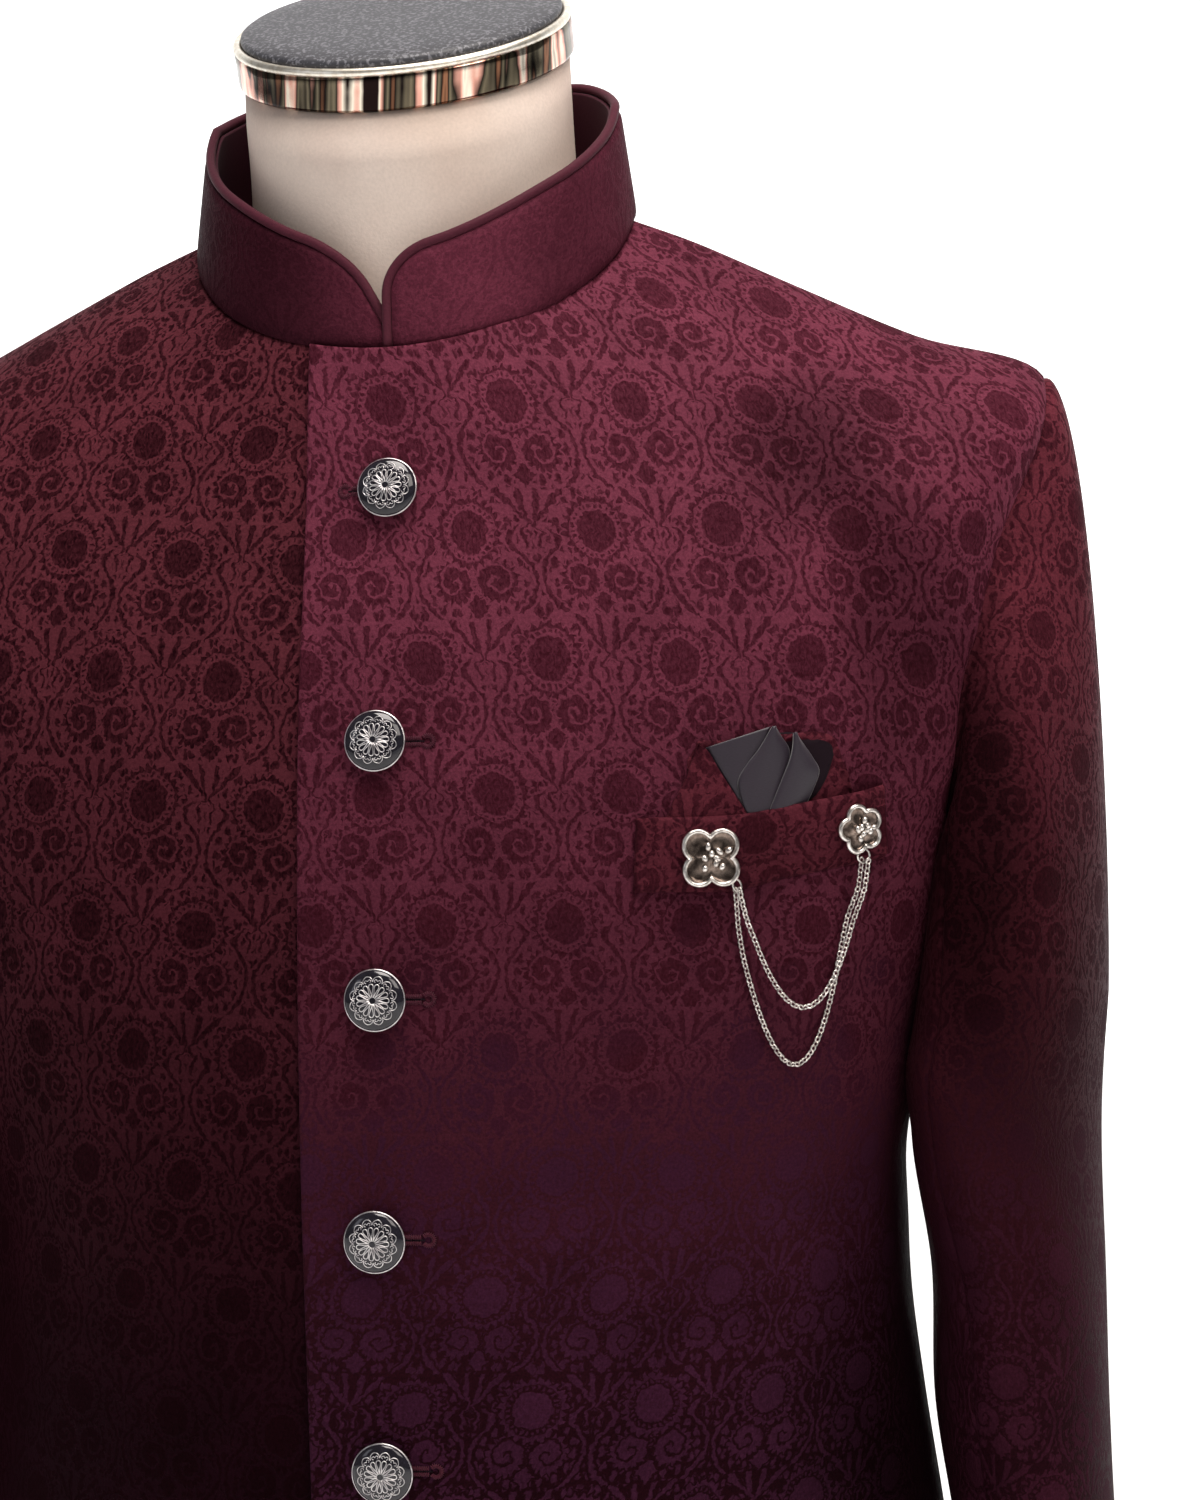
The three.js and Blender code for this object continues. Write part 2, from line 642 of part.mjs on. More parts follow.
// Upper edges of the three layers of the pocket square.
// Each row: share across the pocket, height above the welt.
const SQUARE_BACK = [
  [0.15, 1],
  [0.2, 17],
  [0.25, 26],
  [0.41, 29],
  [0.63, 26.5],
  [0.75, 24],
  [0.79, 18.6],
  [0.815, 11],
  [0.845, 1.5],
];
const SQUARE_FAN = [
  [0.28, 21],
  [0.3, 24.5],
  [0.42, 27.5],
  [0.537, 30],
  [0.588, 24],
  [0.627, 26],
  [0.67, 20],
  [0.71, 11],
  [0.72, 2],
];
const SQUARE_FRONT = [
  [0.13, 0.5],
  [0.165, 10],
  [0.196, 17],
  [0.245, 26.5],
  [0.27, 24],
  [0.34, 14],
  [0.4, 6],
  [0.443, 0.5],
];

function edgeHeight(edge, u) {
  let i = 0;
  while (i + 2 < edge.length && edge[i + 1][0] < u) i += 1;
  const [u0, h0] = edge[i];
  const [u1, h1] = edge[i + 1];
  return lerp(h0, h1, Math.min(1, Math.max(0, (u - u0) / (u1 - u0))));
}

function pocketSquare() {
  const build = (name, colour, edge, low, high) => {
    const columns = edge.map(([u]) => u);
    const heightAt = (u, r) => WELT.half + lerp(-6, edgeHeight(edge, u), r);
    const outside = (u, r) => weltPoint(u, heightAt(u, r), lerp(low, high, r) + 0.8);
    const inside = (u, r) => weltPoint(u, heightAt(u, r), lerp(low, high, r));
    return shell(name, colour, columns, [0, 0.45, 1], outside, inside);
  };
  return [
    build("pocket_square_back", FRONT_SHADE, SQUARE_BACK, 0.4, 0.6),
    build("pocket_square_fan", SATIN_SHADE, SQUARE_FAN, 1.5, 1.8),
    build("pocket_square_front", FRONT_SHADE, SQUARE_FRONT, 2.6, 2.9),
  ];
}

// A turned solid standing on the front, from a profile of radius and height.
function turned(name, colour, frame, profile, count, petals, depth) {
  const rings = profile.map(([radius, height]) => {
    const ring = [];
    for (let k = 0; k < count; k += 1) {
      const a = (2 * Math.PI * k) / count;
      const wave = 1 + depth * Math.cos(petals * a);
      const q = frame.middlePoint.clone();
      q.addScaledVector(frame.across, radius * wave * Math.cos(a));
      q.addScaledVector(frame.up, radius * wave * Math.sin(a));
      ring.push(q.addScaledVector(frame.out, height));
    }
    return ring;
  });
  return lofted(name, colour, rings);
}

function buttons() {
  const profile = [
    [2.8, 0.4],
    [2.8, 2.2],
    [BUTTON_RADIUS - 1, 2.5],
    [BUTTON_RADIUS, 3.8],
    [BUTTON_RADIUS * 0.86, 5.6],
    [BUTTON_RADIUS * 0.45, 6.7],
  ];
  return BUTTON_HEIGHTS.map((z, i) => {
    const frame = frontFrame(BUTTON_X[i], z);
    return turned("button_" + (i + 1), BUTTON_SHADE, frame, profile, 16, 0, 0);
  });
}

function brooches() {
  const outline = (radius) => [
    [radius * 0.86, 5.95],
    [radius, 6.8],
    [radius * 0.86, 7.9],
    [radius * 0.4, 8.7],
  ];
  const large = frontFrame(LARGE_BROOCH.x, LARGE_BROOCH.z);
  const small = frontFrame(SMALL_BROOCH.x, SMALL_BROOCH.z);
  const wide = LARGE_BROOCH.radius;
  const narrow = SMALL_BROOCH.radius;
  return [
    turned("brooch_large", METAL_SHADE, large, outline(wide), 28, 4, -0.14),
    turned("brooch_small", METAL_SHADE, small, outline(narrow), 25, 5, 0.1),
  ];
}

function chains() {
  const from = { x: LARGE_BROOCH.x + 8.6, z: LARGE_BROOCH.z - 11.2 };
  const to = { x: SMALL_BROOCH.x + 1, z: SMALL_BROOCH.z - 11 };
  return CHAINS.map(([name, drop, skew, side]) => {
    const path = steps(0, 1, 22).map((t) => {
      const u = t - skew * 0.03 * Math.sin(Math.PI * t);
      const bow = 1 - (2 * u - 1) ** 2;
      const hang = bow ** 0.92;
      const x = lerp(from.x + side * 0.9, to.x + side * 0.9, u);
      const z = lerp(from.z, to.z, t) - drop * hang;
      const near = smooth(WELT.z0 - WELT.half - 14, WELT.z0 - WELT.half + 2, z);
      return onFront(x, z, lerp(1.7, 5.6, near) + (side > 0 ? 2.6 : 0));
    });
    return tube(name, METAL_SHADE, path, CHAIN_RADIUS, 5);
  });
}

// The dress form under the jacket.
function dressForm() {
  const count = 36;
  const inset = [
    [0, 9],
    [3, 9],
    [6, 8],
    [9, 8],
    [11, 5],
    [12, 3.4],
    [13, 3.2],
    [16, 3.2],
  ];
  const levels = [0, 2, 4, 6, 8, 9, 10, 10.7, 11.3, 12, 12.5, 13, 13.6, 14.3, 15.1];
  const insetAt = (level) => edgeHeight(inset, level);
  const ringAt = (level) => {
    const ring = [];
    for (let k = 0; k < count; k += 1) {
      const angle = (360 * k) / count;
      const point = plainPoint(angle, level);
      const normal = plainNormal(angle, level);
      const side = Math.abs(Math.sin(rad(angle))) ** 6;
      const extra = side * 9 * smooth(8.6, 10, level) * smooth(13, 11.9, level);
      const pressed = Math.min(0, foldDepth(point));
      ring.push(point.addScaledVector(normal, -insetAt(level) - extra + pressed));
    }
    return ring;
  };
  const low = ringAt(0).map((p) => vec(p.x, p.y, FORM_BOTTOM));
  const rings = [low, ...levels.map(ringAt)];
  const cap = capFrame();
  // Neck rings: half width, half depth, height of the middle, middle Y.
  const neck = [
    [76, 57, 33, 64.5],
    [69, 55, 38, 65],
    [65, 54, 46, 65],
    [63, 54.5, 60, 64.5],
    [62.2, 56, 80, 62],
    [62, 60, 101, 58],
  ];
  for (const [half, deep, z, y] of neck) {
    const ring = [];
    for (let k = 0; k < count; k += 1) {
      const a = rad((360 * k) / count);
      const back = -deep * Math.cos(a);
      ring.push(vec(half * Math.sin(a), y + back, z + Math.tan(rad(27)) * back));
    }
    rings.push(ring);
  }
  rings.push(capRing(cap, NECK_CAP.radius - 2, -GAP, count));
  return lofted("dress_form", FORM_SHADE, rings);
}

function capFrame() {
  const lean = rad(NECK_CAP.tilt);
  return {
    middlePoint: vec(0, NECK_CAP.y, NECK_CAP.z),
    across: vec(1, 0, 0),
    back: vec(0, Math.cos(lean), Math.sin(lean)),
    out: vec(0, -Math.sin(lean), Math.cos(lean)),
  };
}

function capRing(frame, radius, height, count) {
  const ring = [];
  for (let k = 0; k < count; k += 1) {
    const a = (2 * Math.PI * k) / count;
    const q = frame.middlePoint.clone().addScaledVector(frame.across, radius * Math.sin(a));
    q.addScaledVector(frame.back, -radius * Math.cos(a));
    ring.push(q.addScaledVector(frame.out, height));
  }
  return ring;
}

function neckCap() {
  const frame = capFrame();
  const r = NECK_CAP.radius;
  const h = NECK_CAP.band;
  const band = [
    [r - 1.2, 0],
    [r, 1.2],
    [r, h - 1.2],
    [r - 1.2, h],
  ];
  const top = [
    [r - 2.5, h + GAP],
    [r - 3.5, h + 2.6],
    [r * 0.6, h + 3.6],
  ];
  const build = (name, colour, rows) =>
    lofted(name, colour, rows.map(([radius, height]) => capRing(frame, radius, height, 36)));
  return [
    build("neck_cap_band", METAL_SHADE, band),
    build("neck_cap_top", DARK_SHADE, top),
  ];
}

const group = new THREE.Group();
group.name = "bandhgala_jacket_on_dress_form";
group.add(
  ...jacketBody(),
  ...sleeve("left"),
  ...sleeve("right"),
  ...collar(),
  welt(),
  ...pocketSquare(),
  ...buttons(),
  ...brooches(),
  ...chains(),
  dressForm(),
  ...neckCap(),
);
group.position.set(0, -FORM_MIDDLE_Y, -FORM_BOTTOM);

export default group;
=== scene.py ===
import json
import math

import bpy
import numpy as np
from mathutils import Matrix, Vector

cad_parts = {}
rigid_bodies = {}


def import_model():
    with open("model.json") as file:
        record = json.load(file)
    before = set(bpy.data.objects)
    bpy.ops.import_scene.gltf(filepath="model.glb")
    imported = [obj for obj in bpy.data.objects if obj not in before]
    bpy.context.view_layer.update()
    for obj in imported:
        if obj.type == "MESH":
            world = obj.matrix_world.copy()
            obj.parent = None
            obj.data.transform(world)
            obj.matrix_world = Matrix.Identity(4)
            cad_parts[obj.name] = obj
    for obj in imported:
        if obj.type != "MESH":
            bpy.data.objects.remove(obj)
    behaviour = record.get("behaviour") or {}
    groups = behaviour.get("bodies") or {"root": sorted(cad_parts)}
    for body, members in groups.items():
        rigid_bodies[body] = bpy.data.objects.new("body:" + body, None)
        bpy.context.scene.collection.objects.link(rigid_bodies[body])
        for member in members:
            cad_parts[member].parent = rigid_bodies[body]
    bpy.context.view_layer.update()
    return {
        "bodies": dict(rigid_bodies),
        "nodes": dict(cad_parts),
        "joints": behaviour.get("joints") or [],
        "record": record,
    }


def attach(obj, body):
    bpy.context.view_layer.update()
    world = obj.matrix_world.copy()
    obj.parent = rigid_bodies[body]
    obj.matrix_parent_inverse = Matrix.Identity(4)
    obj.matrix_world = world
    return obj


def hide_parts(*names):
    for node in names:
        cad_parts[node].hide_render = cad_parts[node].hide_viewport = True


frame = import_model()

OVERLAP = 27
OVER_LIFT = 2.9
FORM_BOTTOM = -705
FORM_MIDDLE_Y = 80

# Rings up the body: front, side and back height, front, side and back Y, half width, power, dip
BODY_RINGS = [
    [-680, -680, -680, -46, 80, 206, 207, 2.3, 1.0],
    [-620, -620, -620, -44, 80, 206, 204, 2.3, 1.0],
    [-560, -560, -560, -42, 80, 204, 200, 2.3, 1.0],
    [-500, -500, -500, -41, 80, 198, 195, 2.3, 1.0],
    [-445, -445, -445, -42, 80, 188, 189, 2.3, 1.0],
    [-396, -396, -396, -43, 80, 180, 182.5, 2.3, 1.0],
    [-350, -350, -350, -44, 80, 177, 178, 2.3, 1.0],
    [-305, -305, -305, -44.5, 80, 182, 179, 2.3, 1.0],
    [-260, -260, -260, -43, 79, 192, 184, 2.4, 1.0],
    [-215, -215, -215, -40, 78, 199, 194, 2.5, 1.0],
    [-162, -142, -158, -34, 76, 201, 208, 2.6, 1.0],
    [-118, -52, -98, -26, 74, 195, 226, 2.6, 1.05],
    [-82, -11, -54, -16, 72, 181, 236, 2.5, 1.25],
    [-54, 6, -9, -9, 70.5, 161, 189, 2.3, 1.35],
    [-31, 27, 26, -5, 68, 143, 144, 2.15, 1.3],
    [-13, 44, 52, -2, 65.5, 132, 108, 2.05, 1.15],
    [0, 53.5, 64, 0, 63.6, 126, 83.5, 2.0, 1.0],
]
HEM = 0
ARMPIT = 9
TIP = 12
NECKLINE = 16
FRONT_NOTCH = 25
BACK_NOTCH = 24
SQUEEZE = 2.4
# Folds and creases are in front of this Y
FOLDS_END = 120
# Width of a front and of a back, in millimetres and in columns of points
FRONT_WIDTH, FRONT_COLUMNS = 300, 58
BACK_WIDTH, BACK_COLUMNS = 290, 50
# How far an edge is rounded, and how deep and wide a seam sinks
HEM_ROUND = 1.3
SEAM_DEPTH = 1.1
SEAM_WIDTH = 1.5
PANEL_THICKNESS = 1.6
SLEEVE_THICKNESS = 1.5
COLLAR_THICKNESS = 1.6
COLLAR_LINING_THICKNESS = 1.2

# Broad folds: X and height of one end, X and height of the other, width, depth
FOLDS = [
    [150, -52, 182, -118, 15, -3.2],
    [128, -60, 196, -150, 13, 1.6],
    [170, -55, 205, -105, 13, 1.4],
    [-150, -60, -190, -140, 18, -1.8],
    [120, -330, 186, -300, 16, -1.6],
    [-120, -330, -186, -300, 16, -1.6],
    [60, -420, 80, -640, 26, 1.4],
    [-60, -420, -80, -640, 26, 1.4],
]

# Rings down the sleeve: height, middle X, half width, middle Y, half depth, lean
SLEEVE_RINGS = [
    [-245, 221.5, 33.2, 81, 77, 10],
    [-290, 216.4, 34.2, 80, 76, 12],
    [-345, 219, 32.6, 79, 74, 4],
    [-396, 218.8, 32.7, 77, 71, 0],
    [-445, 222.6, 30, 74, 67, 0],
    [-500, 227, 28.5, 69, 62, 0],
    [-560, 231.4, 27.7, 62, 57, 0],
    [-617, 234.8, 27, 54, 53, 0],
]
# Each sleeve part: the turns it runs between, and its columns of points
SLEEVE_PARTS = [("top", -110, 122, 70), ("under", 122, 250, 40)]
# Millimetres round the sleeve for each degree
SLEEVE_ARC = 1.35
CUFF_TILT = 9
HEAD_RAISE = 1.1
HEAD_LENGTH = 18
HEAD_SWELL = 2.5
HEAD_DROP = 70
SLEEVE_PRESS = 5
SEAM_CLOSE = 0.35
ARMHOLE_GAP = 0.6
UNDERARM_GAP = 1.2

COLLAR_RISE = 45
COLLAR_FRONT_RISE = 36
COLLAR_CORNER_LEFT = 18
COLLAR_CORNER_RIGHT = 29
COLLAR_OUT = 1.9
COLLAR_LEAN = 6
COLLAR_CLEAR = 0.92
COLLAR_START = 0.15
COLLAR_TUCK = 0.6
PIPING_RADIUS = 1.8
UNDER_REACH = 7
UNDER_FROM = 4
UNDER_SLOPE = 1.74
UNDER_DROP = 3.0
BACK_RISE = 9.0
SIDE_DIP = 2.0

WELT_FOOT = -194.7
BUTTON_HEIGHTS = [-52, -141, -229, -311, -391]
BUTTON_X = [3.5, 1.5, 1.3, -0.5, -0.5]
BUTTON_RADIUS = 10.8
LARGE_BROOCH = {"x": 114.8, "z": -183.1}
SMALL_BROOCH = {"x": 163.2, "z": -174.7}
# name, drop below the brooches, skew, distance from the middle line
CHAINS = [["chain_short", 46, 0.2, 1.4], ["chain_long", 67, 1.6, -1.4]]
NECK_CAP = {"y": 56, "z": 115.5, "radius": 64, "tilt": 29, "band": 16}

# Painted shade, where the cloth sinks or turns from the light, in metres: middle, reach each
# way, share of light kept. A patch with no end reaches right through.
NO_END = 9
CHEST_PAINTED_SHADE = [
    ((0.150, 0, 0.662), (0.042, NO_END, 0.044), 0.5),
    ((0.182, 0, 0.605), (0.034, NO_END, 0.07), 0.55),
    ((0.200, 0, 0.28), (0.085, NO_END, 0.19), 0.12),
]
COLLAR_PAINTED_SHADE = [
    ((-0.07, 0, 0.72), (0.1, NO_END, NO_END), 0.3),
    ((0.08, 0, 0.77), (0.045, NO_END, NO_END), 0.62),
]
SLEEVE_PAINTED_SHADE = [
    ((0.204, 0, 0.53), (0.03, NO_END, 0.11), 0.35),
    ((0.225, 0, 0.47), (0.06, NO_END, 0.14), 0.6),
]

# Small creases, as in FOLDS, on the buttoned front and on the sleeves
FRONT_CREASES = [
    [138, -26, 178, -104, 21, -2.0],
    [120, -10, 172, -30, 12, 1.2],
    [60, -20, 110, -150, 22, 0.8],
]
SLEEVE_CREASES = [
    [206, -60, 232, -190, 12, 0.9],
    [218, -250, 226, -420, 14, -1.0],
    [204, -300, 214, -470, 9, 0.8],
]

# X and height along the edges of the welt, from its left end in the picture
WELT_TOP = [
    [90.8, -169.0], [101.0, -169.0], [115.3, -169.0], [128.4, -168.2],
    [138.3, -166.5], [148.2, -164.7], [161.2, -162.4], [174.4, -160.0],
]
WELT_LOW = [
    [89.4, -194.4], [105.1, -194.7], [120.3, -195.1], [128.3, -194.1],
    [137.1, -192.1], [145.7, -190.5], [163.1, -187.9], [174.6, -186.3],
]
# The pocket square: X and height along the two sides of each fold, from the top down
FLAP_LEFT = [
    [112.0, -144.6], [109.5, -150.8], [107.0, -156.9], [103.9, -162.8],
    [100.6, -169.6], [98.6, -174],
]
FLAP_RIGHT = [
    [112.0, -144.6], [115.3, -146.8], [118.8, -153.1], [123.4, -161.0],
    [128.3, -169.2], [131, -174],
]
BACK_TOP = [
    [108.5, -149.5], [112.2, -144.4], [112.9, -143.2], [124.4, -143.3], [136.5, -141.7],
    [143.2, -141.6], [150.0, -141.0], [153.9, -141.4], [157.2, -143.0], [159.2, -147.3],
    [160.1, -151.4], [161.7, -155.0], [162.7, -162.7],
]
PLEATS = [
    {
        "left": [
            [114.6, -145.6], [115.4, -147.4], [118.9, -153.6],
            [123.6, -161.6], [128.0, -171],
        ],
        "right": [
            [136.4, -138.9], [133.6, -145], [131.4, -149.2],
            [129.8, -158.6], [130.6, -171],
        ],
        "lift": [2.6, 3.0],
    },
    {
        "left": [
            [137.2, -139.0], [132.6, -146.5], [128.4, -151.8],
            [125.3, -157.3], [126.1, -163.4], [128.6, -171],
        ],
        "right": [
            [137.5, -138.9], [139.8, -142.9], [142.2, -147.1],
            [142.2, -154.9], [140.2, -161.1], [138, -171],
        ],
        "lift": [4.4, 2.2],
    },
    {
        "left": [
            [143.8, -141.2], [143.4, -146.0], [142.2, -150.8],
            [139.4, -157.6], [134.4, -170],
        ],
        "right": [
            [144.1, -141.2], [146.8, -145.4], [149.9, -150.3],
            [151.8, -154.6], [149.7, -160.8], [145.2, -170],
        ],
        "lift": [5.4, 2.4],
    },
]
HOLLOW_TOP = [
    [137.8, -141.4], [141.1, -140.9], [144.2, -141.2], [149.8, -143.8],
    [153.1, -143.4], [156.5, -143.6],
]
HOLLOW_LOW = [
    [137.8, -160], [141.1, -164], [146.2, -165.1], [150.5, -163.4],
    [154.4, -157.6], [157.4, -149.3],
]
# The enamel dome: share of the button's radius, height of its foot and its own height
DOME_EDGE = 0.97
DOME_FOOT = 3.7
DOME_RISE = 3.2
# The buttonhole: length, half width, radius of its eye and the stitches' pitch
BUTTONHOLE = 25
HOLE_HALF = 0.95
EYE_RADIUS = 1.9
STITCH_STEP = 0.62
PETALS = 15
LACE = 12
BROOCH_LIFT = 6.1
LINK_STEP = 1.7
LINK_LENGTH = 2.7
LINK_WIDTH = 2.5
LINK_WIRE = 0.34

# Pitch of the woven flowers along a row and between like rows, and of the drawn one
FLOWER_ACROSS = 43.3
FLOWER_DOWN = 87.4
DRAWN_ACROSS = 44
DRAWN_DOWN = 84
# How far a repeat starts above the flower's middle, in drawn millimetres
FLOWER_START = 14

CAMERA_PLACE = (0.20158, -0.96005, 0.57785)
CAMERA_YAW, CAMERA_PITCH, CAMERA_ROLL = 8.2, 1.2, -1.6
CAMERA_LENS = 59.93
CAMERA_SENSOR = 36

# Half width of the studio, the way back to its backdrop and how brightly each part glows
STUDIO_SIDE = 6
STUDIO_BACK = 3
FLOOR_GLOW = 0.34
BACKDROP_GLOW = 0.9
SKY_GLOW = 0.16
STAIN_PLACE = (0.018, -0.06, 0.785)
# name, place, aim, width, height, watts, colour
LIGHTS = [
    ("key_window", (1.3, -1.3, 1.9), (0.02, 0, 0.62), 1.0, 1.0, 17, "#fff6ee"),
    ("side_window", (-1.6, -1.5, 1.4), (0, 0, 0.6), 0.6, 1.0, 3, "#f2f4ff"),
    ("top_light", (0.25, -0.5, 2.2), (0, 0, 0.6), 1.0, 1.0, 38, "#fff8f2"),
]


def world(points):
    moved = np.asarray(points, float) + np.array([0, -FORM_MIDDLE_Y, -FORM_BOTTOM])
    return moved / 1000


def linear(code, alpha=1.0):
    channels = [int(code[i : i + 2], 16) / 255 for i in (1, 3, 5)]
    flat = [c / 12.92 if c <= 0.04045 else ((c + 0.055) / 1.055) ** 2.4 for c in channels]
    return (*flat, alpha)


def place(obj):
    bpy.context.scene.collection.objects.link(obj)
    return obj


def make_camera():
    yaw, pitch, roll = (math.radians(turn) for turn in (CAMERA_YAW, CAMERA_PITCH, CAMERA_ROLL))
    ahead = Vector(
        (-math.sin(yaw) * math.cos(pitch), math.cos(yaw) * math.cos(pitch), -math.sin(pitch))
    )
    level = Vector((math.cos(yaw), math.sin(yaw), 0))
    upright = level.cross(ahead)
    right = level * math.cos(roll) + upright * math.sin(roll)
    up = -level * math.sin(roll) + upright * math.cos(roll)
    turn = Matrix((right, up, -ahead)).transposed().to_4x4()
    data = bpy.data.cameras.new("camera")
    data.lens = CAMERA_LENS
    data.sensor_width = CAMERA_SENSOR
    camera = place(bpy.data.objects.new("camera", data))
    camera.matrix_world = Matrix.Translation(CAMERA_PLACE) @ turn
    bpy.context.scene.camera = camera


def soft_light(name, place_at, aim, width, height, power, colour):
    data = bpy.data.lights.new(name, "AREA")
    data.shape = "RECTANGLE"
    data.size = width
    data.size_y = height
    data.energy = power
    data.color = linear(colour)[:3]
    lamp = place(bpy.data.objects.new(name, data))
    lamp.location = place_at
    aimed = Vector(aim) - Vector(place_at)
    lamp.rotation_euler = aimed.to_track_quat("-Z", "Y").to_euler()


def light_studio():
    """A pale floor and backdrop under three soft lights: one like a window to the right, a weak
    one to the left and a broad one above."""
    side, back = STUDIO_SIDE, STUDIO_BACK
    near = [(-side, -side, 0), (side, -side, 0)]
    far = [(side, back, 0), (-side, back, 0)]
    high = [(-side, back, side), (side, back, side)]
    for name, corners, glow in (
        ("floor", near + far, FLOOR_GLOW),
        ("backdrop", far[::-1] + high[::-1], BACKDROP_GLOW),
    ):
        sheet = mesh_object(name, corners, [[0, 1, 2, 3]], metres=True)
        paint(sheet, studio_white("pale_" + name, glow))
    sky = bpy.data.worlds.new("studio")
    sky.use_nodes = True
    sky.node_tree.nodes["Background"].inputs["Color"].default_value = linear("#f6f4f4")
    sky.node_tree.nodes["Background"].inputs["Strength"].default_value = SKY_GLOW
    bpy.context.scene.world = sky
    bpy.context.scene.view_settings.view_transform = "Standard"
    for light in LIGHTS:
        soft_light(*light)


def smooth(low, high, value):
    t = np.clip((np.asarray(value, float) - low) / (high - low), 0, 1)
    return t * t * (3 - 2 * t)


def lerp(a, b, t):
    return a + (b - a) * t


def unit(vectors):
    size = np.linalg.norm(vectors, axis=-1, keepdims=True)
    return vectors / np.maximum(size, 1e-9)


def row_at(table, position):
    """Rows of a table between its listed rows, by a smooth curve through them."""
    rows = np.asarray(table, float)
    last = len(rows) - 1
    at = np.clip(np.asarray(position, float), 0, last - 1e-9)
    i = np.floor(at).astype(int)
    t = (at - i)[..., None]
    low, high = rows[i], rows[i + 1]
    slope1 = (high - rows[np.maximum(i - 1, 0)]) / np.where(i > 0, 2, 1)[..., None]
    slope2 = (rows[np.minimum(i + 2, last)] - low) / np.where(i + 2 <= last, 2, 1)[..., None]
    t2, t3 = t * t, t * t * t
    return (
        (2 * t3 - 3 * t2 + 1) * low
        + (t3 - 2 * t2 + t) * slope1
        + (3 * t2 - 2 * t3) * high
        + (t3 - t2) * slope2
    )


def plain_point(angle, level):
    """The angle is 0 at the centre front, 90 at the wearer's left and 180 at the back."""
    angle, level = np.broadcast_arrays(np.asarray(angle, float), np.asarray(level, float))
    zf, zs, zb, yf, ys, yb, half, power, dip = np.moveaxis(row_at(BODY_RINGS, level), -1, 0)
    s, c = np.sin(np.radians(angle)), np.cos(np.radians(angle))
    reach = (np.abs(s) ** power + np.abs(c) ** power) ** (-1 / power)
    along = np.abs(c) * reach
    fall = along**dip
    y = ys + np.where(c >= 0, yf - ys, yb - ys) * along
    z = zs + np.where(c >= 0, zf - zs, zb - zs) * fall
    return np.stack([half * s * reach, y, z], -1)


def plain_normal(angle, level):
    level = np.asarray(level, float)
    across = plain_point(angle + 0.5, level) - plain_point(angle - 0.5, level)
    rise = plain_point(angle, np.minimum(NECKLINE, level + 0.02)) - plain_point(
        angle, np.maximum(HEM, level - 0.02)
    )
    return unit(np.cross(across, rise))


def fold_depth(points, folds):
    x, z = points[..., 0], points[..., 2]
    depth = np.zeros_like(x)
    for x0, z0, x1, z1, width, amount in folds:
        dx, dz = x1 - x0, z1 - z0
        t = np.clip(((x - x0) * dx + (z - z0) * dz) / (dx * dx + dz * dz), 0, 1)
        away = np.hypot(x - x0 - t * dx, z - z0 - t * dz)
        depth += amount * np.exp(-((away / width) ** 2))
    return np.where(points[..., 1] > FOLDS_END, 0, depth)


def body_point(angle, level, lift=0.0):
    point = plain_point(angle, level)
    rise = lift + fold_depth(point, FOLDS)
    return point + plain_normal(angle, level) * np.asarray(rise)[..., None]


def over_lift(angle, level):
    """How far the buttoned front stands off the one beneath it."""
    level = np.asarray(level, float)
    reach = np.where(level > TIP, lerp(95, 62, (level - TIP) / (NECKLINE - TIP)), 95)
    return OVER_LIFT * (1 - smooth(36, reach, plain_point(angle, level)[..., 0]))


def angle_at_x(x, level):
    half = row_at(BODY_RINGS, level)[..., 6]
    return np.degrees(np.arcsin(np.clip(x / half, -0.999, 0.999)))


def seam_angle(level, notch):
    level = np.asarray(level, float)
    t = np.clip((level - ARMPIT) / (TIP - ARMPIT), 0, 1)
    return 90 - notch * 2.14 * (t * (1 - t)) ** 0.55


def front_at(x, z):
    """The ring angle and level where the buttoned front has the given X and height."""
    x, z = np.broadcast_arrays(np.asarray(x, float), np.asarray(z, float))
    level = np.full(x.shape, float(ARMPIT))
    angle = angle_at_x(x, level)
    for _ in range(30):
        p = plain_point(angle, level)
        across = (plain_point(angle + 0.2, level) - p) / 0.2
        rise = (plain_point(angle, level + 0.02) - p) / 0.02
        dx, dz = x - p[..., 0], z - p[..., 2]
        size = across[..., 0] * rise[..., 2] - rise[..., 0] * across[..., 2]
        angle = angle + (dx * rise[..., 2] - dz * rise[..., 0]) / size
        level = level + (dz * across[..., 0] - dx * across[..., 2]) / size
        level = np.clip(level, HEM, NECKLINE)
    return angle, level


def on_front(x, z, lift=0.0):
    angle, level = front_at(x, z)
    return body_point(angle, level, over_lift(angle, level) + lift)


def front_frame(x, z):
    """Middle, across, up and outward on the buttoned front."""
    angle, level = front_at(x, z)
    out = plain_normal(angle, level)
    across = unit(np.cross([0, 0, 1], out))
    middle = body_point(angle, level, over_lift(angle, level))
    return middle, across, np.cross(out, across), out


def mesh_object(name, points, faces, metres=False):
    mesh = bpy.data.meshes.new(name)
    spots = points if metres else world(points)
    mesh.from_pydata(np.asarray(spots).reshape(-1, 3).tolist(), [], faces)
    mesh.polygons.foreach_set("use_smooth", [True] * len(mesh.polygons))
    mesh.update()
    return place(bpy.data.objects.new(name, mesh))


def grid_faces(high, wide, closed=False, flip=False):
    faces = []
    for j in range(high - 1):
        for i in range(wide if closed else wide - 1):
            n = (i + 1) % wide
            quad = [j * wide + i, j * wide + n, (j + 1) * wide + n, (j + 1) * wide + i]
            faces.append(quad[::-1] if flip else quad)
    return faces


def grid_object(name, grid, flip=False):
    return mesh_object(name, grid, grid_faces(*grid.shape[:2], flip=flip))


def grid_normals(grid):
    across = np.gradient(grid, axis=1)
    rise = np.gradient(grid, axis=0)
    return unit(np.cross(across, rise))


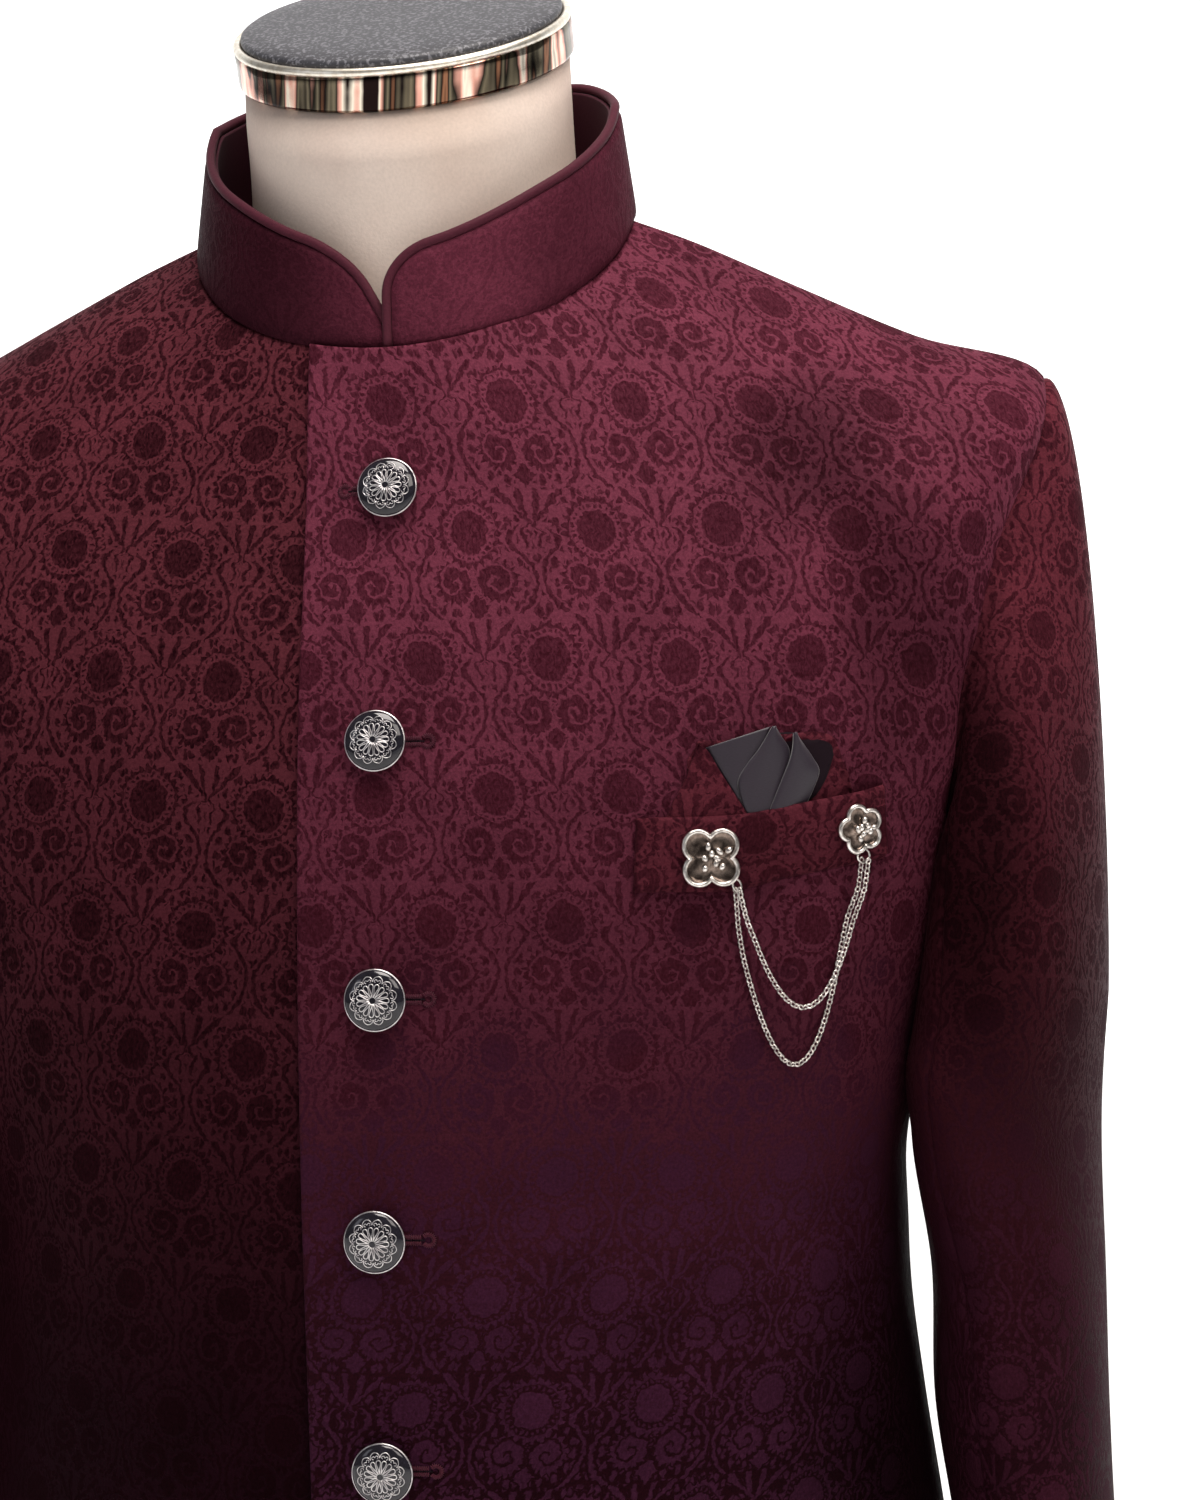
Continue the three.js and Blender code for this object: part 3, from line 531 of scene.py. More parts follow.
def thicken(obj, thickness):
    cloth = obj.modifiers.new("cloth", "SOLIDIFY")
    cloth.thickness = thickness / 1000
    cloth.offset = -1
    cloth.material_offset = 1


def paint(obj, *materials):
    for material in materials:
        obj.data.materials.append(material)


def unwrap(obj):
    """Flattens a cloth sheet without stretching it; lay_grain later brings it to its real size
    in metres.
    """
    view = bpy.context.view_layer
    for other in bpy.context.selected_objects:
        other.select_set(False)
    view.objects.active = obj
    obj.select_set(True)
    bpy.ops.object.mode_set(mode="EDIT")
    bpy.ops.mesh.select_all(action="SELECT")
    bpy.ops.uv.unwrap(method="CONFORMAL", margin=0)
    bpy.ops.object.mode_set(mode="OBJECT")
    obj.select_set(False)


def lay_grain(obj, low, high, grain):
    """Turns and scales the flat cloth so that the line from vertex low to high is its grain,
    and moves it so that vertex high lies on the grain's spot, in millimetres of the weave."""
    mesh = obj.data
    count = len(mesh.loops)
    flat = np.empty(count * 2)
    mesh.uv_layers[0].data.foreach_get("uv", flat)
    flat = flat.reshape(-1, 2)
    owner = np.empty(count, int)
    mesh.loops.foreach_get("vertex_index", owner)
    spots = np.empty(len(mesh.vertices) * 3)
    mesh.vertices.foreach_get("co", spots)
    spots = spots.reshape(-1, 3)
    by_vertex = np.zeros((len(spots), 2))
    by_vertex[owner] = flat
    edges = np.array([e.vertices[:] for e in mesh.edges])
    real = np.linalg.norm(spots[edges[:, 0]] - spots[edges[:, 1]], axis=1)
    drawn = np.linalg.norm(by_vertex[edges[:, 0]] - by_vertex[edges[:, 1]], axis=1)
    flat = flat * (real.sum() / drawn.sum())
    by_vertex[owner] = flat
    run = by_vertex[high] - by_vertex[low]
    angle = math.atan2(run[0], run[1]) + math.radians(grain["turn"])
    spin = np.array([[math.cos(angle), -math.sin(angle)], [math.sin(angle), math.cos(angle)]])
    flat = flat @ spin.T
    by_vertex[owner] = flat
    flat = flat - by_vertex[high]
    if "ease" in grain:
        about, reach = np.array(grain["about"]) / 1000
        bulge = 1 - ((flat[:, 1] - about) / reach) ** 2
        flat = flat + bulge[:, None] * np.array(grain["ease"]) / 1000
    flat = flat + np.array(grain["spot"]) / 1000
    mesh.uv_layers[0].name = "cloth"
    mesh.uv_layers[0].data.foreach_set("uv", flat.ravel())


def flat_cloth(obj, grid):
    """Gives a small sheet its cloth coordinates: two values in millimetres for each point."""
    layer = obj.data.uv_layers.new(name="cloth")
    owner = np.empty(len(obj.data.loops), int)
    obj.data.loops.foreach_get("vertex_index", owner)
    flat = (np.asarray(grid, float).reshape(-1, 2) / 1000)[owner]
    layer.data.foreach_set("uv", flat.ravel())


def turned(name, frame, profile, count, outline=None):
    """A turned solid standing on a frame, from a profile of radius and height. The outline
    gives the radius for each direction where it isn't round."""
    middle, across, up, out = frame
    turns = np.linspace(0, 2 * math.pi, count, endpoint=False)
    shape = np.ones(count) if outline is None else outline(turns)
    rings = []
    for radius, height in profile:
        reach = radius * shape
        rings.append(
            middle
            + np.outer(reach * np.cos(turns), across)
            + np.outer(reach * np.sin(turns), up)
            + out * height
        )
    faces = grid_faces(len(profile), count, closed=True)
    faces.append(list(range(count))[::-1])
    faces.append([(len(profile) - 1) * count + k for k in range(count)])
    return mesh_object(name, np.concatenate(rings), faces)


def joined(name, parts):
    """One mesh from several lists of points and faces."""
    points, faces = [], []
    for spots, sides in parts:
        faces += [[k + len(points) for k in side] for side in sides]
        points += np.asarray(spots).reshape(-1, 3).tolist()
    return mesh_object(name, np.array(points), faces)


def hard_piece(obj, material, slot, *nodes):
    paint(obj, material)
    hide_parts(*nodes)
    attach(obj, "root")


def declare(obj, held, rests_on, *nodes, length=None):
    """A cloth piece stands for its CAD nodes, which it hides, and is attached to the root body.
    The length is not used."""
    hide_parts(*nodes)
    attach(obj, "root")


def cloth_piece(obj, thickness, outside, inside, slot, held, rests_on, *nodes, length=None):
    thicken(obj, thickness)
    paint(obj, outside, inside)
    declare(obj, held, [rests_on], *nodes, length=length)


EDGE_STEPS = np.array([0, 0.2, 0.5, 1.0, 1.7, 2.8, 4.5, 7.0])
LOW_LEVELS = np.linspace(0, 8.9, 84)
ARMHOLE_LEVELS = 9 + 1.5 * (1 - np.cos(np.linspace(0, math.pi, 45)))
SHOULDER_LEVELS = np.linspace(12.1, NECKLINE, 40)
LEVELS = np.concatenate([LOW_LEVELS, ARMHOLE_LEVELS, SHOULDER_LEVELS])


def columns_across(width, count):
    near = EDGE_STEPS / width
    inner = np.linspace(near[-1], 1 - near[-1], count)[1:-1]
    return np.concatenate([near, inner, 1 - near[::-1]])


def lengths(grid, axis):
    steps = np.linalg.norm(np.diff(grid, axis=axis), axis=-1)
    pad = [(1, 0), (0, 0)] if axis == 0 else [(0, 0), (1, 0)]
    return np.pad(np.cumsum(steps, axis=axis), pad)


def walk_along(points):
    """How far each point of a line lies from its first, along the line."""
    steps = np.linalg.norm(np.diff(points, axis=0), axis=1)
    return np.concatenate([[0], np.cumsum(steps)])


def round_over(away, radius):
    """How far a folded edge drops, at a distance from it."""
    near = np.clip(radius - away, 0, radius)
    return radius - np.sqrt(radius**2 - near**2)


def seam_dip(away, depth, width):
    return depth * np.exp(-((away / width) ** 2))


def panel(first_edge, last_edge, columns, lift=None, folded="", small_folds=()):
    """A sheet from one seam to the next, with a round folded edge or a dip at each seam."""
    level = LEVELS[:, None]
    u = columns[None, :]
    first, last = first_edge(LEVELS)[:, None], last_edge(LEVELS)[:, None]
    notched = ((level > ARMPIT) & (level < TIP)).astype(float)
    cut_first = (first - first_edge(np.array([ARMPIT]))[0]) * notched
    cut_last = (last - last_edge(np.array([ARMPIT]))[0]) * notched
    angle = lerp(first - cut_first, last - cut_last, u)
    angle = angle + cut_first * (1 - u) ** SQUEEZE + cut_last * u**SQUEEZE
    grid = body_point(angle, level, lift(angle, level) if lift else np.zeros_like(angle))
    out = grid_normals(grid)
    run = lengths(grid, 1)
    drop = np.zeros_like(run)
    for side, away in (("first", run), ("last", run[:, -1:] - run)):
        if side == folded:
            drop = drop + round_over(away, HEM_ROUND)
        else:
            drop = drop + seam_dip(away, SEAM_DEPTH, SEAM_WIDTH)
    drop = drop + round_over(lengths(grid, 0), HEM_ROUND)
    rise = fold_depth(grid, small_folds)
    return grid + out * (rise - drop)[..., None]


def jacket_panels():
    front_columns = columns_across(FRONT_WIDTH, FRONT_COLUMNS)
    back_columns = columns_across(BACK_WIDTH, BACK_COLUMNS)

    def left_edge(level):
        return angle_at_x(-OVERLAP, level)

    def right_edge(level):
        return angle_at_x(OVERLAP, level)

    def front_seam(level):
        return seam_angle(level, FRONT_NOTCH)

    def back_seam(level):
        return 180 - seam_angle(level, BACK_NOTCH)

    def straight(value):
        return lambda level: np.full(np.shape(level), float(value))

    return {
        "front_left": panel(
            left_edge, front_seam, front_columns, over_lift, "first", FRONT_CREASES
        ),
        "front_right": panel(
            lambda level: -front_seam(level), right_edge, front_columns, folded="last"
        ),
        "back_left": panel(back_seam, straight(180), back_columns),
        "back_right": panel(straight(180), lambda level: 360 - back_seam(level), back_columns),
    }


def armhole_half(notch, behind):
    level = ARMHOLE_LEVELS[::-1]
    seam = seam_angle(level, notch)
    angle = 180 - seam if behind else seam
    point = body_point(angle, level)
    walked = walk_along(point)
    return {
        "share": walked / walked[-1],
        "point": point,
        "normal": plain_normal(angle, level),
        "run": unit(np.gradient(point, axis=0)),
    }


FRONT_ARMHOLE = armhole_half(FRONT_NOTCH, False)
BACK_ARMHOLE = armhole_half(BACK_NOTCH, True)


def armhole_at(turn):
    """The turn is 0 at the shoulder, 90 in front, 180 under the arm and 270 behind."""
    t = np.mod(turn, 360)
    front = t <= 180
    share = np.where(front, t / 180, (360 - t) / 180)

    def pick(key):
        found = [
            np.stack([np.interp(share, half["share"], half[key][:, k]) for k in range(3)], -1)
            for half in (FRONT_ARMHOLE, BACK_ARMHOLE)
        ]
        return np.where(front[..., None], found[0], found[1])

    point, normal, run = pick("point"), unit(pick("normal")), unit(pick("run"))
    away = np.where(front[..., None], np.cross(normal, run), np.cross(run, normal))
    straight = unit(np.array([1.0, 0, 0]) - normal * normal[..., :1])
    away = unit(lerp(away, straight, smooth(14, 0, np.minimum(t, 360 - t))[..., None]))
    up = unit(np.array([0, 0, 1.0]) - normal * normal[..., 2:])
    away = unit(lerp(away, up, smooth(168, 180, np.where(front, t, 360 - t))[..., None]))
    return point, normal, away


def sleeve_ring(turn, row):
    z, x, half, y, deep, lean = np.moveaxis(row, -1, 0)
    c, s = np.cos(np.radians(turn)), np.sin(np.radians(turn))
    low = smooth(-500, -617, z) * CUFF_TILT
    return np.stack([x + half * c - lean * s, y - deep * s, z - low * s], -1)


def sleeve_point(turn, position):
    """Position 0 to 1 is the sleeve head, then one for each ring."""
    turn, position = np.broadcast_arrays(np.asarray(turn, float), np.asarray(position, float))
    rings = sleeve_ring(turn, row_at(SLEEVE_RINGS, np.maximum(position - 1, 0)))
    point, normal, away = armhole_at(turn)
    under = (1 - np.cos(np.radians(turn))) / 2
    bend = (under**1.2 * math.pi)[..., None]
    leave = away * np.cos(bend) + normal * np.sin(bend)
    slack = smooth(0.8, 1, under) * UNDERARM_GAP * SEAM_CLOSE
    start = point + leave * ARMHOLE_GAP * SEAM_CLOSE + np.stack([slack, slack * 0, slack], -1)
    end = sleeve_ring(turn, np.broadcast_to(SLEEVE_RINGS[0], (*turn.shape, 6)))
    raised = unit(leave + normal * (HEAD_RAISE * (1 - under) ** 4)[..., None])
    head = start + raised * lerp(HEAD_LENGTH, 4, under)[..., None]
    swell = HEAD_SWELL * (1 - under) ** 2 + 2 * under**4
    above = end + np.stack([swell, under * 0, lerp(HEAD_DROP, 9, under**0.8)], -1)
    t = np.clip(position, 0, 1)[..., None]
    k = 1 - t
    cap = start * k**3 + head * 3 * k * k * t + above * 3 * k * t * t + end * t**3
    tucked = np.clip(-position, 0, 1)[..., None]
    cap = cap - away * 5 * tucked - normal * 2.8 * tucked**0.6
    return np.where(position[..., None] >= 1, rings, cap)


def body_side(y, z):
    """How far out the jacket's side reaches below the armhole, at a depth and height."""
    rows = np.array(BODY_RINGS[: TIP + 1])
    front, side, back, half, power = (
        np.interp(z, rows[:, 1], rows[:, column]) for column in (3, 4, 5, 6, 7)
    )
    share = np.abs(y - side) / np.where(y < side, side - front, back - side)
    return half * np.maximum(1 - np.minimum(share, 1) ** power, 0) ** (1 / power)


def pressed_to_body(grid, turns, positions):
    """The sleeve rests against the jacket from the armhole down to the elbow."""
    x, y, z = np.moveaxis(grid, -1, 0)
    inner = smooth(0.1, -0.75, np.cos(np.radians(turns)))
    press = SLEEVE_PRESS * inner * smooth(-292, -262, z) * smooth(0.05, 0.4, positions)
    rest = np.where(press > 0.01, body_side(y, z) + 0.2, 0)
    return np.stack([np.maximum(x - press, np.minimum(rest, x)), y, z], -1)


def sleeve_grid(first, last, count, mirror):
    """The sleeve's cloth, with a strip turned in under the armhole's edge."""
    turns = lerp(first, last, columns_across(abs(last - first) * SLEEVE_ARC, count))
    if mirror > 0:
        turns = turns[::-1]
    head = [-1, -0.6, -0.3, -0.12, 0, 0.006, 0.014, 0.026, 0.045, 0.07]
    positions = np.concatenate([head, np.linspace(0.1, 1, 40), np.linspace(1, 8, 92)[1:]])[::-1]
    grid = sleeve_point(turns[None, :], positions[:, None])
    grid = pressed_to_body(grid, turns[None, :], positions[:, None]) * np.array([mirror, 1, 1])
    out = grid_normals(grid)
    run = lengths(grid, 1)
    down = lengths(grid, 0)
    drop = seam_dip(run, 0.9, 1.4) + seam_dip(run[:, -1:] - run, 0.9, 1.4)
    drop = drop + seam_dip(down[-5:-4, :] - down, 0.7, 1.6) + round_over(down, 1.2)
    from_seam = np.maximum(0, down[-5:-4, :] - down)
    gathers = np.sin(np.radians(turns * 7.5)) + 0.6 * np.sin(np.radians(turns * 13 + 40))
    pucker = 0.32 * gathers * np.exp(-from_seam / 11) * smooth(0, 4, from_seam)
    creases = fold_depth(grid * np.array([mirror, 1, 1]), SLEEVE_CREASES)
    return grid + out * (pucker + creases - drop)[..., None]


NECK_ANGLES = np.linspace(0, 180, 721)
NECK_LINE = plain_point(NECK_ANGLES, float(NECKLINE))
NECK_WALK = walk_along(NECK_LINE)
NECK_HALF = NECK_WALK[-1]


def collar_rise(walked):
    return lerp(COLLAR_FRONT_RISE, COLLAR_RISE, smooth(0, 70, walked))


def collar_edge(walked, corner, inset):
    top = collar_rise(walked)
    back = corner + COLLAR_START - walked
    reach = corner - inset
    round_top = top - corner + np.sqrt(np.maximum(0, reach**2 - back**2))
    return np.where(back <= 0, top - inset, round_top)


def collar_point(walked, height, lift):
    """Walked runs from the wearer's left front end round the back to the right end."""
    walked, height, lift = np.broadcast_arrays(
        np.asarray(walked, float), np.asarray(height, float), np.asarray(lift, float)
    )
    far = walked > NECK_HALF
    near = np.where(far, 2 * NECK_HALF - walked, walked)
    angle = np.sign(near) * np.interp(np.abs(near), NECK_WALK, NECK_ANGLES)
    lift = lift - UNDER_DROP * np.where(far, smooth(24, 6, near), 0)
    base = plain_point(angle, float(NECKLINE))
    out = np.stack([base[..., 0] / 83.5, (base[..., 1] - 63.6) / 63, base[..., 0] * 0], -1)
    out = unit(out)
    lean = (height / COLLAR_RISE) * COLLAR_LEAN * smooth(20, 90, angle)
    point = base + np.stack([height * 0, height * 0, COLLAR_CLEAR + height], -1)
    point = point + out * (lift - lean)[..., None]
    return point * np.stack([np.where(far, -1, 1), far * 0 + 1, far * 0 + 1], -1)


def collar_top(walked, inset):
    near = 2 * NECK_HALF - walked
    left = collar_edge(walked, COLLAR_CORNER_LEFT, inset)
    knee = UNDER_FROM + 0.867 * inset
    right = collar_edge(np.maximum(near, knee), COLLAR_CORNER_RIGHT, inset)
    right = right - UNDER_SLOPE * np.maximum(0, knee - near)
    round_neck = np.minimum(walked, near) / NECK_HALF
    behind = BACK_RISE * smooth(0.5, 0.74, round_neck) - SIDE_DIP * np.exp(
        -(((round_neck - 0.5) / 0.1) ** 2)
    )
    return np.where(walked <= NECK_HALF, left, right) + behind


def tube_mesh(path, radius, sides, caps=True):
    """A round bar along a list of points, in millimetres."""
    path = np.asarray(path, float)
    along = unit(np.gradient(path, axis=0))
    side = np.cross(along[0], [0, 0, 1.0])
    if np.linalg.norm(side) < 0.1:
        side = np.cross(along[0], [0, 1.0, 0])
    side = unit(side)
    sizes = np.broadcast_to(radius, (len(path),))
    turns = np.linspace(0, 2 * math.pi, sides, endpoint=False)
    rings = []
    for spot, ahead, size in zip(path, along, sizes):
        side = unit(side - ahead * side.dot(ahead))
        other = np.cross(ahead, side)
        rings.append(
            spot + size * (np.cos(turns)[:, None] * side + np.sin(turns)[:, None] * other)
        )
    grid = np.array(rings)
    faces = grid_faces(len(path), sides, closed=True)
    if caps:
        faces.append(list(range(sides))[::-1])
        faces.append([(len(path) - 1) * sides + k for k in range(sides)])
    return grid.reshape(-1, 3), faces


def collar_grids():
    ends = np.array([0, 0.3, 0.8, 1.6, 3])
    inset = 2 * PIPING_RADIUS
    start = COLLAR_START + inset
    end = 2 * NECK_HALF + UNDER_REACH
    walked = np.concatenate(
        [
            start + ends,
            np.linspace(start + 5, 40, 16),
            np.linspace(44, 2 * NECK_HALF - 44, 74),
            np.linspace(2 * NECK_HALF - 40, end - 5, 22),
            end - ends[::-1],
        ]
    )
    low, high = [0, 0.02, 0.05, 0.1], [0.9, 0.95, 0.98, 1]
    share = np.concatenate([low, np.linspace(0.16, 0.84, 9), high])
    top = np.maximum(collar_top(walked, inset), COLLAR_TUCK)
    sunk = COLLAR_CLEAR + COLLAR_TUCK
    height = -sunk + (top + sunk)[None, :] * share[:, None]
    foot = np.exp(-np.maximum(0, height + sunk) / 1.6)
    groove = np.exp(-(((top - height) / 1.4) ** 2))
    side = np.exp(-(((walked - start)[None, :] / 1.2) ** 2))
    lift = COLLAR_OUT * (1 - 1.5 * foot) + 0.1 - 1.1 * np.maximum(groove, side)
    outer = collar_point(walked[None, :], height, lift)
    lining_height = top[None, :] * share[:, None]
    inner = collar_point(walked[None, :], lining_height, -1.6)
    flat = np.stack([np.broadcast_to(walked, height.shape), height], -1)
    return outer, inner, flat


def piping_path():
    def edge(corner, low):
        reach = corner - PIPING_RADIUS
        side = COLLAR_START + PIPING_RADIUS
        upright = [(side, h) for h in np.linspace(low, collar_rise(0) - corner - 2, 6)]
        turns = np.radians(np.linspace(0, 90, 16))
        ways = corner + COLLAR_START - reach * np.cos(turns)
        rounded = list(zip(ways, collar_rise(ways) - corner + reach * np.sin(turns)))
        ways = np.linspace(corner + 6, NECK_HALF, 44)
        return upright + rounded + list(zip(ways, collar_rise(ways) - PIPING_RADIUS))

    left = edge(COLLAR_CORNER_LEFT, -COLLAR_TUCK)
    round_neck = np.linspace(NECK_HALF - 4, 44, 44)
    ways = np.concatenate([round_neck, np.linspace(40, -UNDER_REACH, 40)])
    right = [(2 * NECK_HALF - way, 0) for way in ways]
    walk = np.array([point for point in left if point[0] < NECK_HALF - 2] + right)
    along = walk[:, 0] > 30
    walk[along, 1] = collar_top(walk[along, 0], PIPING_RADIUS)
    walk[:, 1] = np.maximum(walk[:, 1], -COLLAR_TUCK)
    return collar_point(walk[:, 0], walk[:, 1], 0.15)


# Places of sockets: a colour Mix node's share, its two colours and what comes out, and the
# factor of a VectorMath node that scales
SHARE, FIRST, SECOND, MIXED = 0, 6, 7, 2
SCALE_BY = 3


def add(tree, kind, inputs=(), output=0, **settings):
    """Adds a node. Inputs are values or other nodes' outputs, by place or name."""
    node = tree.nodes.new("ShaderNode" + kind)
    for field, setting in settings.items():
        setattr(node, field, setting)
    known = inputs.items() if isinstance(inputs, dict) else enumerate(inputs)
    for place_in, value in known:
        if isinstance(value, bpy.types.NodeSocket):
            tree.links.new(value, node.inputs[place_in])
        elif value is not None:
            node.inputs[place_in].default_value = value
    return node.outputs[output]


def finish_of(name, **sockets):
    """A new material with its shader's plain sockets set."""
    material = bpy.data.materials.new(name)
    material.use_nodes = True
    shader = material.node_tree.nodes["Principled BSDF"]
    for socket, value in sockets.items():
        shader.inputs[socket.replace("_", " ")].default_value = value
    return material, material.node_tree, shader


def studio_white(name, glow):
    """Matt white paper, lit from behind, which the eye reads as one plain pale sweep."""
    return finish_of(
        name, Roughness=0.9, Specular_IOR_Level=0.0, Base_Color=linear("#f4f4f4"),
        Emission_Color=linear("#ffffff"), Emission_Strength=glow,
    )[0]


def set_curve(socket, points, top):
    """Bends a Float Curve through points of place and value, both brought to 0 to 1."""
    curve = socket.node.mapping.curves[0]
    first, last = points[0][0], points[-1][0]
    while len(curve.points) < len(points):
        curve.points.new(0.5, 0.5)
    for dot, (spot, value) in zip(curve.points, points):
        dot.location = ((spot - first) / (last - first), value / top)
    socket.node.mapping.update()


STROKE_REACH = 12
STROKE_WIDE = 2
# Each stroke: height down from the flower's middle, distance from the axis, half width
STROKES = {
    "tulip": [
        [28.5, 3.2, 1.0], [33, 2.6, 1.0], [38, 1.6, 0.7], [41, 0.7, 0.5], [43, 3.4, 0.6],
        [45, 2.4, 0.6], [47, 2.0, 0.6], [48.5, 2.6, 0.5],
    ],
    "stem": [
        [41, 4.6, 0.5], [42.5, 6.2, 0.9], [44, 7.7, 1.2], [46, 7.9, 1.1], [48, 6.8, 1.0],
        [51, 4.2, 0.9], [54, 2.2, 0.8], [57, 1.4, 0.7], [60, 1.6, 0.7], [63, 2.6, 0.9],
        [66, 4.4, 1.1], [69, 7.0, 1.1], [71, 9.5, 0.5],
    ],
    "leaf": [
        [28.5, 11, 0.5], [30, 9.8, 1.5], [32, 8, 1.6], [34, 6.2, 1.1], [36.5, 4.2, 0.9],
        [39, 2, 0.5],
    ],
}


def stroke(tree, across, down, rows):
    """How far a point lies outside a curved stem, in drawn millimetres."""
    first, last = rows[0][0], rows[-1][0]
    share = add(tree, "MapRange", [down, first, last, 0.0, 1.0])
    spine = add(tree, "FloatCurve", [1.0, share])
    set_curve(spine, [row[:2] for row in rows], STROKE_REACH)
    half = add(tree, "FloatCurve", [1.0, share])
    set_curve(half, [[row[0], row[2]] for row in rows], STROKE_WIDE)
    offset = add(tree, "Math", [spine, -STROKE_REACH, across], operation="MULTIPLY_ADD")
    offset = add(tree, "Math", [offset], operation="ABSOLUTE")
    offset = add(tree, "Math", [half, -STROKE_WIDE, offset], operation="MULTIPLY_ADD")
    above = add(tree, "Math", [first, down], operation="SUBTRACT")
    below = add(tree, "Math", [down, last], operation="SUBTRACT")
    offset = add(tree, "Math", [offset, above], operation="MAXIMUM")
    return add(tree, "Math", [offset, below], operation="MAXIMUM")


def woven_flower():
    """One repeat of the damask: a round flower head over two paisleys, and a stem below it."""
    tree = bpy.data.node_groups.new("woven_flower", "ShaderNodeTree")
    for name, way in (
        ("Across", "INPUT"), ("Down", "INPUT"), ("Outside", "OUTPUT"), ("Room", "OUTPUT")
    ):
        tree.interface.new_socket(name, in_out=way, socket_type="NodeSocketFloat")
    x, y = tree.nodes.new("NodeGroupInput").outputs[:2]
    spot = add(tree, "CombineXYZ", [x, y])

    # the head: a hatched heart, a ring of beads and a fringe of pointed teeth
    away = add(tree, "VectorMath", [spot], output="Value", operation="LENGTH")
    turn = add(tree, "Math", [y, x], operation="ARCTAN2")
    heart = add(tree, "Math", [away, 7.1], operation="SUBTRACT")
    ring = add(tree, "Math", [away, 8.6], operation="SUBTRACT")
    ring = add(tree, "Math", [ring], operation="ABSOLUTE")
    ring = add(tree, "Math", [ring, 0.62], operation="SUBTRACT")
    beads = add(tree, "Math", [turn, 26.0], operation="MULTIPLY")
    beads = add(tree, "Math", [beads], operation="COSINE")
    beads = add(tree, "Math", [beads, -0.5, 0.05], operation="MULTIPLY_ADD")
    beads = add(tree, "Math", [ring, beads], operation="MAXIMUM")
    teeth = add(tree, "Math", [turn, 24 / math.pi], operation="MULTIPLY")
    teeth = add(tree, "Math", [teeth, 1.0], operation="PINGPONG")
    teeth = add(tree, "Math", [teeth, 2.0, 10.5], operation="MULTIPLY_ADD")
    teeth = add(tree, "Math", [away, teeth], operation="SUBTRACT")
    inside = add(tree, "Math", [9.7, away], operation="SUBTRACT")
    teeth = add(tree, "Math", [teeth, inside], operation="MAXIMUM")
    shape = add(tree, "Math", [heart, beads], operation="MINIMUM")
    shape = add(tree, "Math", [shape, teeth], operation="MINIMUM")

    # the paisleys: a toothed lobe with a pale line curled into it
    lobe = add(tree, "VectorMath", [spot, (7.6, 16.2, 0)], operation="SUBTRACT")
    parts = add(tree, "SeparateXYZ", [lobe]).node
    size = add(tree, "VectorMath", [lobe], output="Value", operation="LENGTH")
    curl = add(tree, "Math", [parts.outputs[1], parts.outputs[0]], operation="ARCTAN2")
    edge = add(tree, "Math", [curl, 17 / math.pi], operation="MULTIPLY")
    edge = add(tree, "Math", [edge, 1.0], operation="PINGPONG")
    edge = add(tree, "Math", [edge, 1.9, 5.9], operation="MULTIPLY_ADD")
    edge = add(tree, "Math", [size, edge], operation="SUBTRACT")
    wound = add(tree, "Math", [curl, 1 / (2 * math.pi)], operation="MULTIPLY")
    wound = add(tree, "Math", [size, 1 / 4.6, wound], operation="MULTIPLY_ADD")
    wound = add(tree, "Math", [wound, 0.5], operation="PINGPONG")
    wound = add(tree, "Math", [wound, -4.6, 0.5], operation="MULTIPLY_ADD")
    paisley = add(tree, "Math", [edge, wound], operation="MAXIMUM")
    clear = add(tree, "Math", [12.9, away], operation="SUBTRACT")
    paisley = add(tree, "Math", [paisley, clear], operation="MAXIMUM")
    shape = add(tree, "Math", [shape, paisley], operation="MINIMUM")

    # the leaf cluster where the paisleys meet
    tip = add(tree, "Math", [y, 24.2], operation="SUBTRACT")
    tip = add(tree, "Math", [tip], operation="ABSOLUTE")
    notch = add(tree, "Math", [y, 0.75], operation="PINGPONG")
    tip = add(tree, "Math", [tip, notch], operation="ADD")
    cluster = add(tree, "Math", [x, 1.05, tip], operation="MULTIPLY_ADD")
    cluster = add(tree, "Math", [cluster, 4.6], operation="SUBTRACT")
    shape = add(tree, "Math", [shape, cluster], operation="MINIMUM")

    for rows in STROKES.values():
        shape = add(tree, "Math", [shape, stroke(tree, x, y, rows)], operation="MINIMUM")

    # the pale bud between the tulip's leaves, which the small leaves keep clear of
    bud = add(tree, "VectorMath", [spot, (0, 34.5, 0)], operation="SUBTRACT")
    bud = add(tree, "VectorMath", [bud, (1.0, 0.4, 0)], operation="MULTIPLY")
    bud = add(tree, "VectorMath", [bud], output="Value", operation="LENGTH")
    bud = add(tree, "Math", [bud, 1.7], operation="SUBTRACT")
    bud = add(tree, "Math", [bud, shape], operation="MINIMUM")
    disc = add(tree, "Math", [away, 9.9], operation="SUBTRACT")
    bud = add(tree, "Math", [bud, disc], operation="MINIMUM")
    made = tree.nodes.new("NodeGroupOutput")
    tree.links.new(shape, made.inputs[0])
    tree.links.new(bud, made.inputs[1])
    return tree


